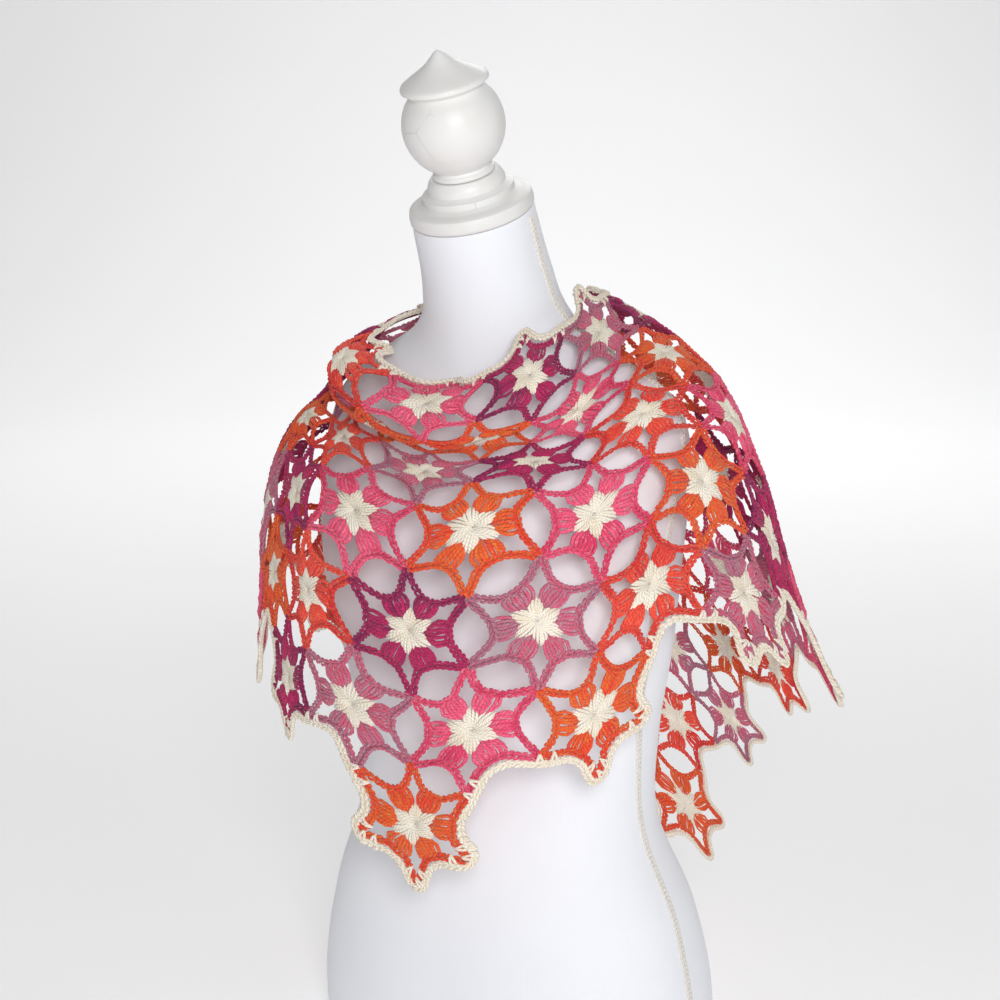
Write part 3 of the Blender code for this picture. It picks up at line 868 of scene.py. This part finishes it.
@dataclass(frozen=True)
class MotifPattern:
    """One star-flower motif, laid out flat: a star, six shells, and chains from tip to tip."""

    petal_strands: int = 5
    petal_root: float = 0.0013
    petal_root_step: float = 0.0003
    petal_belly: float = 0.62
    petal_belly_step: float = 0.0030
    petal_end_step: float = 0.0023
    petal_point: float = 2.4
    petal_rise_mm: tuple[float, ...] = (0.2, 1.5, 1.6, 0.5)
    petal_widths_mm: tuple[float, ...] = (0.8, 1.25, 1.4, 1.05)
    star_reach: float = 0.0205
    star_notch: float = 0.0160
    shell_strands: int = 7
    shell_points: int = 5
    shell_start: float = 0.0128
    shell_end: float = 0.0320

    def work(self, seed: int) -> Skein:
        """Work a motif in slot 0 for its yarn and slot 1 for the cream of its star.

        Args:
            seed: the number that sets its small uneven steps.

        Returns:
            The strands, round the flat origin.
        """
        rng = np.random.default_rng(seed)
        skein = Skein()
        self._star(skein, rng)
        for side in range(6):
            self._shell(skein, side * pi / 3, rng)
            self._side_chain(skein, side * pi / 3, rng)
        return skein

    def _star(self, skein: Skein, rng: np.random.Generator) -> None:
        """Lay the petals' strands, longest in the middle of each petal."""
        half = (self.petal_strands - 1) / 2
        t = np.linspace(0, 1, len(self.petal_rise_mm))[:, None]
        for petal in range(6):
            for j in np.arange(-half, half + 1):
                shortening = (self.star_reach - self.star_notch) * (abs(j) / half) ** self.petal_point
                reach = self.star_reach - shortening
                start = np.array([self.petal_root, self.petal_root_step * j])
                middle = np.array([self.petal_belly * reach, j * self.petal_belly_step])
                end = np.array([reach, j * self.petal_end_step])
                line = (1 - t) ** 2 * start + 2 * t * (1 - t) * middle + t**2 * end
                line += rng.normal(0, 0.00025, 2)
                lift = np.array(self.petal_rise_mm) * MM - 0.0001 * abs(j)
                flat = turned(np.column_stack([line, lift]), radians(30 + 60 * petal))
                widths = np.array(self.petal_widths_mm) * MM
                tone = 0.5 + rng.normal(0, 0.15)
                skein.lay(flat[None], widths, tone, rng.uniform(0, BALL_CM, 1), slot=1)

    def _shell(self, skein: Skein, angle: float, rng: np.random.Generator) -> None:
        """Lay one shell of puffed, fanned strands between two petals."""
        half = (self.shell_strands - 1) / 2
        share = np.linspace(0, 1, self.shell_points)
        swell = np.sin(pi * share)
        for j in np.arange(-half, half + 1):
            reach = self.shell_end + 0.0001 * j * j
            start = self.shell_start + 0.0005 * abs(j) ** 1.5
            out = start + (reach - start) * share
            across = j * (0.0017 + 0.0009 * share + 0.0011 * swell)
            lift = (0.3 + (2.1 - 0.16 * j * j) * swell**0.8) * MM
            flat = np.column_stack([out, across, lift])
            flat[:, :2] += rng.normal(0, 0.0003, 2)
            flat[1:-1, 1:] += rng.normal(0, 0.0003, (self.shell_points - 2, 2))
            widths = (0.95 + 0.63 * swell**0.7 + 0.2 * share) * MM * rng.uniform(0.9, 1.1)
            # Painted highlight: the tone rises by 0.2 with the swell, so each strand is lighter where the
            # shell puffs highest; the random part is the yarn's own drift
            tones = 0.45 + 0.2 * swell + rng.normal(0, 0.16)
            skein.lay(turned(flat, angle)[None], widths, tones, rng.uniform(0, BALL_CM, 1))

    def _side_chain(self, skein: Skein, angle: float, rng: np.random.Generator) -> None:
        """Work the chain of one concave side, from tip to tip past the shell."""
        corners = np.vstack([HALF_SIDE_MM, HALF_SIDE_MM[-2::-1] * (1, -1)]) * MM
        last = len(corners) - 1
        fine = smooth_rows(np.linspace(0, last, SIDE_POINTS), range(last + 1), corners)
        path = turned(np.column_stack([fine, np.zeros(SIDE_POINTS)]), angle)
        Chain().work(skein, path, rng.uniform(0.25, 0.7), rng)


class MotifRow:
    """One row of motifs of the shawl, joined tip to tip."""

    ROW_SEED = 31
    MOTIF_SEED = 7

    def __init__(self, row: int, patterns: list[Skein], materials: dict[Yarn, bpy.types.Material]) -> None:
        """Choose the row.

        Args:
            row: its number, from 0 at the shawl's point.
            patterns: worked motifs to repeat.
            materials: the material of each yarn.
        """
        self.row = row
        self.patterns = patterns
        self.materials = materials

    def build(self, drape: Drape) -> bpy.types.Object:
        """Drape the row's motifs as one piece.

        Args:
            drape: what lays them over the form.

        Returns:
            The piece.
        """
        chart = COLOUR_CHART[self.row]
        yarns = [Yarn.CREAM] + sorted({Yarn(letter) for letter in chart}, key=lambda yarn: yarn.value)
        whole = Skein()
        for k, letter in enumerate(chart):
            number = self.row * self.ROW_SEED + k * self.MOTIF_SEED
            pattern = self.patterns[number % len(self.patterns)]
            rng = np.random.default_rng(number)
            flat = np.concatenate(pattern.points)
            reach = np.linalg.norm(flat[:, :2], axis=1) / TIP_REACH
            bearing = np.arctan2(flat[:, 1], flat[:, 0])
            tones = np.concatenate(pattern.tones) + self._drift(reach, bearing, rng)
            flat = turned(flat, radians(60 * (number % 6)))
            loose = (1 - np.clip(reach, 0, 1) ** 4) * MOTIF_WARP
            flat[:, 0] += loose * np.sin(MOTIF_WARP_RATE * flat[:, 1] + rng.uniform(0, 6))
            flat[:, 1] += loose * np.sin(MOTIF_WARP_RATE * flat[:, 0] + rng.uniform(0, 6))
            flat[:, 0] += PITCH * (k - 2 * self.row + self.row / 2)
            flat[:, 1] += self.row * ROW_RISE
            whole.copy_in(pattern, flat, tones, yarns.index(Yarn(letter)))
        name = f"motif_row_{self.row + 1}"
        made = whole.piece(name, drape.place, [self.materials[yarn] for yarn in yarns])
        replaced = [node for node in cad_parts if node.split("_")[1] == f"row{self.row + 1}"]
        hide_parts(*replaced)
        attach(made, "root")
        log.info("%s: %d motifs for %d nodes", name, len(chart), len(replaced))
        return made

    @staticmethod
    def _drift(reach: np.ndarray, bearing: np.ndarray, rng: np.random.Generator) -> np.ndarray:
        """Let the yarn's tone drift round a motif, darker out at its tips."""
        first, second = rng.uniform(0, 2 * pi, 2)
        round_it = 0.16 * np.sin(bearing + first) + 0.14 * np.sin(2 * bearing + second)
        return round_it + 0.10 - 0.30 * np.clip(reach - 0.45, 0, 1)

    def declare(self, made: bpy.types.Object, edges: list[bpy.types.Object]) -> None:
        """Do nothing with the row's piece."""


def polar(radius: float, angle: float) -> Vector:
    """Give a flat point from its distance and angle."""
    return Vector((radius * cos(angle), radius * sin(angle), 0))


class Side(NamedTuple):
    """A free side of the lattice: the motif's column and row, and the tip that it starts from."""

    column: int
    row: int
    tip: float

    @property
    def centre(self) -> Vector:
        """Give the flat middle of the motif."""
        return Vector((PITCH * (self.column + self.row / 2), self.row * ROW_RISE, 0))

    def tip_key(self, turn: float) -> tuple[int, int]:
        """Give a tip's place in tenths of a millimetre, which meeting tips share."""
        place = self.centre + polar(TIP_REACH, self.tip + turn)
        return round(place.x * 1e4), round(place.y * 1e4)

    def corner(self, turn: float, hand: int) -> Vector:
        """Give a corner of a tip's blunt end: hand 1 for its left one, -1 for its right one."""
        angle = self.tip + turn
        back = TIP_HALF_WIDTH * cos(pi / 3) / sin(pi / 3)
        return self.centre + polar(TIP_REACH - back, angle) + polar(hand * TIP_HALF_WIDTH, angle + pi / 2)


class CreamBand:
    """The narrow cream chain that is worked round the lace."""

    STEPS = ((0, 1), (-1, 1), (-1, 0), (0, -1), (1, -1), (1, 0))
    CHAIN = Chain(lift=0.0010, leg_reach=0.0023, leg_half_width=0.0015, core_half_width=0.0020)
    RAISED_CHAIN = Chain(lift=0.0030, leg_reach=0.0023, leg_half_width=0.0015, core_half_width=0.0020)
    BITE_SHARES = (0.0, 0.35, 0.7, 1.0)
    BITE_RISE_MM = (0.6, 2.6, 3.2, 1.2)
    BITE_WIDTHS_MM = (1.0, 1.25, 1.2, 0.8)
    SEED = 900

    def __init__(self, material: bpy.types.Material) -> None:
        """Take the yarn's material."""
        self.material = material
        self.sides = self._walk()

    def _walk(self) -> list[Side]:
        """List the free sides in order round the lace."""
        cells = {(column, row) for row in range(MOTIF_ROWS) for column in range(-2 * row, row + 1)}
        found = {}
        for column, row in sorted(cells):
            for k, step in enumerate(self.STEPS):
                if (column + step[0], row + step[1]) not in cells:
                    side = Side(column, row, radians(30 + 60 * k))
                    found[side.tip_key(0)] = side
        key = Side(MOTIF_ROWS - 1, MOTIF_ROWS - 1, radians(-30)).tip_key(0)
        order = []
        for _ in range(len(found)):
            order.append(found[key])
            key = found[key].tip_key(pi / 3)
        return order

    def _outline(self) -> tuple[list[Vector], list[int]]:
        """Give the lace's outline and, for each of its points, the side that it is on."""
        line, owners = [], []
        for k, side in enumerate(self.sides):
            before = self.sides[k - 1]
            after = self.sides[(k + 1) % len(self.sides)]
            first = side.corner(0, 1)
            if before[:2] != side[:2]:
                first = (first + before.corner(pi / 3, -1)) / 2
            middle = side.tip + pi / 6
            points = [first] + [side.centre + polar(reach, middle + turn) for reach, turn in SIDE_BENDS]
            if after[:2] == side[:2]:
                points.append(side.corner(pi / 3, -1))
            line += points
            owners += [k] * len(points)
        return line, owners

    @staticmethod
    def _rail(line: list[Vector], reach: float) -> np.ndarray:
        """Give the outline moved outwards."""
        made = []
        for k, point in enumerate(line):
            before = (point - line[k - 1]).normalized()
            after = (line[(k + 1) % len(line)] - point).normalized()
            bisector = Vector((before.y + after.y, -before.x - after.x, 0)).normalized()
            facing = Vector((after.y, -after.x, 0))
            mitre = min(1 / max(bisector.dot(facing), 0.1), BAND_MITRE_LIMIT)
            made.append(point + bisector * mitre * reach)
        return np.array(made)

    def build(self, drape: Drape) -> list[bpy.types.Object]:
        """Work the three stretches of band.

        Args:
            drape: what lays them over the form.

        Returns:
            The neck edge's band and the two hems'.
        """
        line, owners = self._outline()
        middle = self._rail(line, BAND_MIDDLE)
        inner = self._rail(line, BAND_BITE)
        top = [k for k, point in enumerate(line) if point.y > NECK_LINE - TIP_REACH / 2 - MM]
        right = min(top, key=lambda k: -line[k].x)
        left = min(top, key=lambda k: line[k].x)
        tip = min(range(len(line)), key=lambda k: line[k].y)
        spans = {
            "band_neck_edge": (right, left, self.RAISED_CHAIN),
            "band_hem_right_wing": (left, tip, self.CHAIN),
            "band_hem_left_wing": (tip, right, self.CHAIN),
        }
        made = []
        for number, (name, (start, stop, chain)) in enumerate(spans.items()):
            rng = np.random.default_rng(self.SEED + number)
            run = [(start + step) % len(line) for step in range((stop - start) % len(line) + 1)]
            skein = Skein()
            chain.work(skein, self._rounded(middle[run]), 0.5, rng)
            self._bites(skein, middle, inner, run, owners, rng)
            piece = skein.piece(name + "_chain", drape.place, [self.material])
            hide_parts(name)
            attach(piece, "root")
            made.append(piece)
        return made

    @staticmethod
    def _rounded(path: np.ndarray) -> np.ndarray:
        """Round the corners of a stretch by cutting them twice, and draw its ends in."""
        for _ in range(2):
            low = (1 - BAND_CUT) * path[:-1] + BAND_CUT * path[1:]
            high = BAND_CUT * path[:-1] + (1 - BAND_CUT) * path[1:]
            path = np.vstack([path[:1], np.stack([low, high], axis=1).reshape(-1, 3), path[-1:]])
        ends = path[[0, -1]] + (path[[1, -2]] - path[[0, -1]]) * BAND_END_INSET
        return np.vstack([ends[:1], path[1:-1], ends[1:]])

    def _bites(
        self,
        skein: Skein,
        middle: np.ndarray,
        inner: np.ndarray,
        run: list[int],
        owners: list[int],
        rng: np.random.Generator,
    ) -> None:
        """Lay the V stitches that bite over the lace at each tip and at both ends of each shell."""
        spots = []
        for first, second in zip(run, run[1:]):
            if owners[first] != owners[second]:
                spots.append((middle[second], inner[second]))
            elif np.linalg.norm(middle[first] - middle[second]) > BITE_SPACING:
                spots.append(((middle[first] + middle[second]) / 2, (inner[first] + inner[second]) / 2))
        for outside, inside in spots:
            across = unit(quarter_turned(inside - outside))
            for hand in (1, -1):
                start = outside + across * hand * BITE_HALF_SPREAD
                line = start + (inside - start) * np.array(self.BITE_SHARES)[:, None]
                line[:, 2] += np.array(self.BITE_RISE_MM) * MM
                widths = np.array(self.BITE_WIDTHS_MM) * MM
                skein.lay(line[None], widths, 0.6, rng.uniform(0, BALL_CM, 1))


class DressForm:
    """The limbless form: a jersey body with side seams, a neck cap and a finial."""

    AROUND = 112
    RINGS = 90
    CLOTH_TO_A_RADIAN = 0.15
    SHARP_ANGLE = radians(35)
    TURNED_STEPS = 72
    ROUNDING_LIMIT = 0.12
    SEAM_POINTS = 300
    SEAM_STITCH = 0.0042
    SEAM_START = 0.001
    SEAM_END = 0.0005
    SEAM_SEED = 77
    CORD_HALF_WIDTH = 0.0034
    CORD_STRAND_MM = 1.2
    CORD_SPOTS = (0.0, 0.0016, 0.0034, 0.005)
    CORD_SPREAD = (1.0, 0.9, 0.55, 0.15)
    CORD_RISE_MM = (0.0, 0.5, 0.7, 0.3)
    CORD_WIDTHS = (0.6, 0.95, 0.95, 0.6)

    def __init__(self, jersey: JerseyFinish, paint: PaintFinish, cord: CottonCordFinish) -> None:
        """Take the finishes."""
        self.jersey = jersey.material()
        self.paint = paint.material()
        self.cord = cord.material()

    def surface(self, z_cm: np.ndarray, angle: np.ndarray) -> np.ndarray:
        """Give points of the body.

        Args:
            z_cm: the ring that each is on, by its height in centimetres.
            angle: how far round it each is, from the form's left side.

        Returns:
            The points, in metres.
        """
        heights = [section.z for section in FORM_SECTIONS]
        rows = smooth_rows(z_cm, heights, [section[1:] for section in FORM_SECTIONS])
        y, wide, deep, roundness, lean = rows.T
        c, s = np.cos(angle), np.sin(angle)
        px = wide * np.abs(c) ** (2 / roundness) * np.sign(c)
        py = deep * np.abs(s) ** (2 / roundness) * np.sign(s)
        tilt = np.radians(lean)
        return np.column_stack([px, y + py * np.cos(tilt), z_cm + py * np.sin(tilt)]) * CM

    def build_body(self) -> bpy.types.Object:
        """Loft the body, flat underneath and at the neck."""
        heights = np.linspace(FORM_SECTIONS[0].z, NECK_TOP.z, self.RINGS)
        turns = 2 * pi * np.arange(self.AROUND) / self.AROUND
        body = bmesh.new()
        loops = []
        for z in heights:
            ring = bmesh.ops.create_circle(body, segments=self.AROUND, radius=1.0)["verts"]
            for vert, place in zip(ring, self.surface(np.full(self.AROUND, z), turns)):
                vert.co = Vector(place)
            loops.append(list({edge for vert in ring for edge in vert.link_edges}))
        for lower, upper in zip(loops, loops[1:]):
            bmesh.ops.bridge_loops(body, edges=lower + upper)
        bmesh.ops.holes_fill(body, edges=loops[0] + loops[-1])
        bmesh.ops.recalc_face_normals(body, faces=body.faces)
        cloth = body.loops.layers.uv.new("cloth")
        for face in body.faces:
            bearings = [np.arctan2(loop.vert.co.y, loop.vert.co.x) for loop in face.loops]
            wraps = max(bearings) - min(bearings) > pi
            for loop, bearing in zip(face.loops, bearings):
                if wraps and bearing < 0:
                    bearing += 2 * pi
                loop[cloth].uv = (bearing * self.CLOTH_TO_A_RADIAN, loop.vert.co.z)
        made = self._finished(body, "form_jersey_body", self.jersey)
        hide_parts("form_body")
        return made

    def build_turned(self, name: str, node: str, profile_cm: Profile) -> bpy.types.Object:
        """Turn a wooden piece on the neck's leaning axis.

        Args:
            name: the piece's name.
            node: the CAD node that it replaces.
            profile_cm: its radii and heights, from the top down.

        Returns:
            The piece.
        """
        body = bmesh.new()
        corners = np.array(profile_cm) * CM
        fine = [corners[0]]
        for k in range(len(corners) - 1):
            fine += [self._turned_point(corners, k, t) for t in (0.25, 0.5, 0.75, 1.0)]
        verts = [body.verts.new((point[0], 0, point[1])) for point in fine]
        edges = [body.edges.new(pair) for pair in zip(verts, verts[1:])]
        axis = {"cent": (0, 0, 0), "axis": (0, 0, 1), "angle": 2 * pi}
        bmesh.ops.spin(body, geom=verts + edges, steps=self.TURNED_STEPS, use_merge=True, **axis)
        bmesh.ops.remove_doubles(body, verts=body.verts, dist=0.00005)
        bmesh.ops.recalc_face_normals(body, faces=body.faces)
        neck_top = Matrix.Translation((0, NECK_TOP.y * CM, NECK_TOP.z * CM))
        lean = Matrix.Rotation(radians(NECK_TOP.lean), 4, "X")
        bmesh.ops.transform(body, matrix=neck_top @ lean, verts=body.verts)
        made = self._finished(body, name, self.paint)
        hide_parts(node)
        return made

    def _turned_point(self, corners: np.ndarray, k: int, t: float) -> np.ndarray:
        """Round a profile softly between its corners, but keep its flat ends."""
        start, end = corners[k], corners[k + 1]
        if k in (0, len(corners) - 2) or t == 1.0:
            return start + (end - start) * t
        before, after = corners[k - 1], corners[min(k + 2, len(corners) - 1)]
        bulge = (start + end) / 2 - (before + after) / 2
        limit = self.ROUNDING_LIMIT * np.linalg.norm(end - start)
        size = max(np.linalg.norm(bulge), 1e-9)
        return start + (end - start) * t + bulge / size * min(size / 8, limit) * 4 * t * (1 - t)

    def build_seam(self, hand: int) -> bpy.types.Object:
        """Work a herringbone cord down one side of the form.

        Args:
            hand: 1 for the form's left side, -1 for its right side.

        Returns:
            The cord.
        """
        heights = np.linspace(SEAM_HEIGHTS_CM[0], SEAM_HEIGHTS_CM[-1], self.SEAM_POINTS)
        back = -np.radians(np.interp(heights, SEAM_HEIGHTS_CM, SEAM_FORWARD_DEGREES))
        walk = walked(self.surface(heights, back))
        count = int(walk[-1] / self.SEAM_STITCH)
        rng = np.random.default_rng(self.SEAM_SEED)
        starts = np.arange(count) * self.SEAM_STITCH + self.SEAM_START
        skein = Skein()
        for side in (1, -1):
            lines = np.zeros((count, len(self.CORD_SPOTS), 3))
            lines[..., 0] = starts[:, None] + np.array(self.CORD_SPOTS)
            lines[..., 1] = side * (np.array(self.CORD_SPREAD) * self.CORD_HALF_WIDTH)
            lines[..., 2] = np.array(self.CORD_RISE_MM) * MM
            widths = np.array(self.CORD_WIDTHS) * self.CORD_STRAND_MM * MM
            skein.lay(lines, widths, 0.5, rng.uniform(0, BALL_CM, count))
        if hand < 0:
            skein.faces = [[face[::-1] for face in group] for group in skein.faces]

        def sewn_on(flat: np.ndarray) -> np.ndarray:
            """Lay flat points on the form, along the seam and across it."""
            spots = np.clip(flat[:, 0], 0, walk[-1] - self.SEAM_END)
            z_cm = np.interp(spots, walk, heights)
            angle = np.interp(spots, walk, back)
            base = self.surface(z_cm, angle)
            side_on = unit(self.surface(z_cm, angle + 0.02) - base)
            up = unit(self.surface(z_cm + 0.1, angle) - base)
            places = base - side_on * flat[:, 1:2] + np.cross(side_on, up) * flat[:, 2:3]
            return places * (hand, 1, 1)

        made = skein.piece("side_seam_left" if hand > 0 else "side_seam_right", sewn_on, [self.cord])
        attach(made, "root")
        return made

    def _finished(self, shape: bmesh.types.BMesh, name: str, finish: bpy.types.Material) -> bpy.types.Object:
        """Turn a bmesh into a smooth piece that rides on the root."""
        mesh = smooth_mesh(shape, name, finish)
        mesh.set_sharp_from_angle(angle=self.SHARP_ANGLE)
        made = linked(name, mesh)
        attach(made, "root")
        log.info("%s: %d faces", name, len(mesh.polygons))
        return made


class Light(NamedTuple):
    """A soft lamp: where it hangs, its width, its power in watts and what it faces."""

    name: str
    place: tuple[float, float, float]
    size: float
    power: float
    target: tuple[float, float, float] = (0.0, 0.0, 0.5)


@dataclass(frozen=True)
class Studio:
    """The pale sweep, the lamps and the camera. The sweep is measured along the camera's view."""

    azimuth: float = radians(32)
    elevation: float = radians(10)
    distance: float = 1.8
    focal_px: float = 2034.0
    photo_px: float = 1000.0
    sensor_mm: float = 36.0
    aim: tuple[float, float, float] = (-0.0068, -0.0042, 0.50)
    sweep_front: float = -6.0
    sweep_bend: float = 4.0
    sweep_radius: float = 2.5
    sweep_height: float = 7.0
    sweep_half_width: float = 7.0
    sweep_glow: float = 0.21
    room_light: float = 0.31
    lamps: tuple[Light, ...] = (
        Light("key_lamp", (2.1, -1.0, 1.7), 1.1, 4.0),
        Light("camera_side_lamp", (1.4, -1.9, 1.15), 0.7, 31.0),
        Light("top_lamp", (-0.2, 0.6, 2.6), 1.8, 2.0),
        Light("backdrop_lamp", (-1.6, 3.4, 3.2), 2.0, 53.0, (-1.6, 2.6, 0.0)),
        Light("wall_lamp", (-0.6, 2.6, 3.4), 2.0, 8.0, (-3.3, 5.3, 1.4)),
    )

    def build(self) -> None:
        """Set up everything."""
        self._sweep()
        for lamp in self.lamps:
            self._lamp(lamp)
        self._world()
        self._camera()
        bpy.context.scene.view_settings.view_transform = "Standard"

    def _sweep(self) -> None:
        """Make the floor and the backdrop behind it as one curved sheet."""
        radius, bend = self.sweep_radius, self.sweep_bend
        floor = [(self.sweep_front, 0.0), (0.0, 0.0), (bend, 0.0)]
        curve = [(bend + radius * sin(t), radius * (1 - cos(t))) for t in np.linspace(0, pi / 2, 17)[1:]]
        line = [*floor, *curve, (bend + radius, self.sweep_height)]
        sheet = bmesh.new()
        turn = Matrix.Rotation(self.azimuth, 3, "Z")
        verts = [sheet.verts.new(turn @ Vector((-self.sweep_half_width, y, z))) for y, z in line]
        edges = [sheet.edges.new(pair) for pair in zip(verts, verts[1:])]
        grown = bmesh.ops.extrude_edge_only(sheet, edges=edges)["geom"]
        moved = [item for item in grown if isinstance(item, bmesh.types.BMVert)]
        bmesh.ops.translate(sheet, verts=moved, vec=turn @ Vector((2 * self.sweep_half_width, 0, 0)))
        bmesh.ops.recalc_face_normals(sheet, faces=sheet.faces)
        if sheet.faces[:][0].normal.z < 0:
            bmesh.ops.reverse_faces(sheet, faces=sheet.faces)
        graph = NodeGraph("pale_sweep")
        grain = graph.noise(graph.place(), 3.0)
        colour = graph.mix(grain, (0.86, 0.86, 0.87), (0.88, 0.88, 0.89))
        graph.wear(colour, grain, 0.0001, roughness=0.95, sheen=0.0)
        graph.shader.inputs["Emission Color"].default_value = (1.0, 1.0, 1.0, 1.0)
        graph.shader.inputs["Emission Strength"].default_value = self.sweep_glow
        linked("pale_sweep", smooth_mesh(sheet, "pale_sweep", graph.material))

    def _lamp(self, lamp: Light) -> None:
        """Hang one lamp, facing its target."""
        light = bpy.data.lights.new(lamp.name, "AREA")
        light.shape = "DISK"
        light.size = lamp.size
        light.energy = lamp.power
        made = linked(lamp.name, light)
        made.location = lamp.place
        made.visible_camera = False
        facing = Vector(lamp.target) - Vector(lamp.place)
        made.rotation_euler = facing.to_track_quat("-Z", "Y").to_euler()

    def _world(self) -> None:
        """Fill the room with even white light."""
        world = bpy.data.worlds.new("soft_room")
        world.use_nodes = True
        ground = world.node_tree.nodes["Background"]
        ground.inputs["Color"].default_value = (1.0, 1.0, 1.0, 1.0)
        ground.inputs["Strength"].default_value = self.room_light
        bpy.context.scene.world = world

    def _camera(self) -> None:
        """Set the camera at the photograph's angle."""
        lens = bpy.data.cameras.new("camera")
        lens.sensor_width = self.sensor_mm
        lens.lens = self.focal_px * self.sensor_mm / self.photo_px
        made = linked("camera", lens)
        level = cos(self.elevation)
        away = Vector((sin(self.azimuth) * level, -cos(self.azimuth) * level, sin(self.elevation)))
        made.location = Vector(self.aim) + away * self.distance
        made.rotation_euler = (-away).to_track_quat("-Z", "Y").to_euler()
        bpy.context.scene.camera = made


def main() -> None:
    """Build the studio, the dress form and the shawl."""
    logging.basicConfig(level=logging.INFO, format="%(name)s: %(message)s")
    Studio().build()
    form = DressForm(JerseyFinish(), PaintFinish(), CottonCordFinish())
    form.build_body()
    form.build_turned("turned_neck_cap", "form_neck_cap", NECK_CAP_PROFILE_CM)
    form.build_turned("turned_finial", "form_finial", FINIAL_PROFILE_CM)
    form.build_seam(1)
    form.build_seam(-1)
    materials = {finish.yarn: finish.material() for finish in YARN_FINISHES}
    drape = Drape()
    pattern = MotifPattern()
    worked = [pattern.work(seed) for seed in range(5)]
    rows = [MotifRow(row, worked, materials) for row in range(MOTIF_ROWS)]
    pieces = [row.build(drape) for row in rows]
    bands = CreamBand(materials[Yarn.CREAM]).build(drape)
    for row, piece in zip(rows, pieces):
        row.declare(piece, bands if row.row == MOTIF_ROWS - 1 else [])


if __name__ == "__main__":
    main()
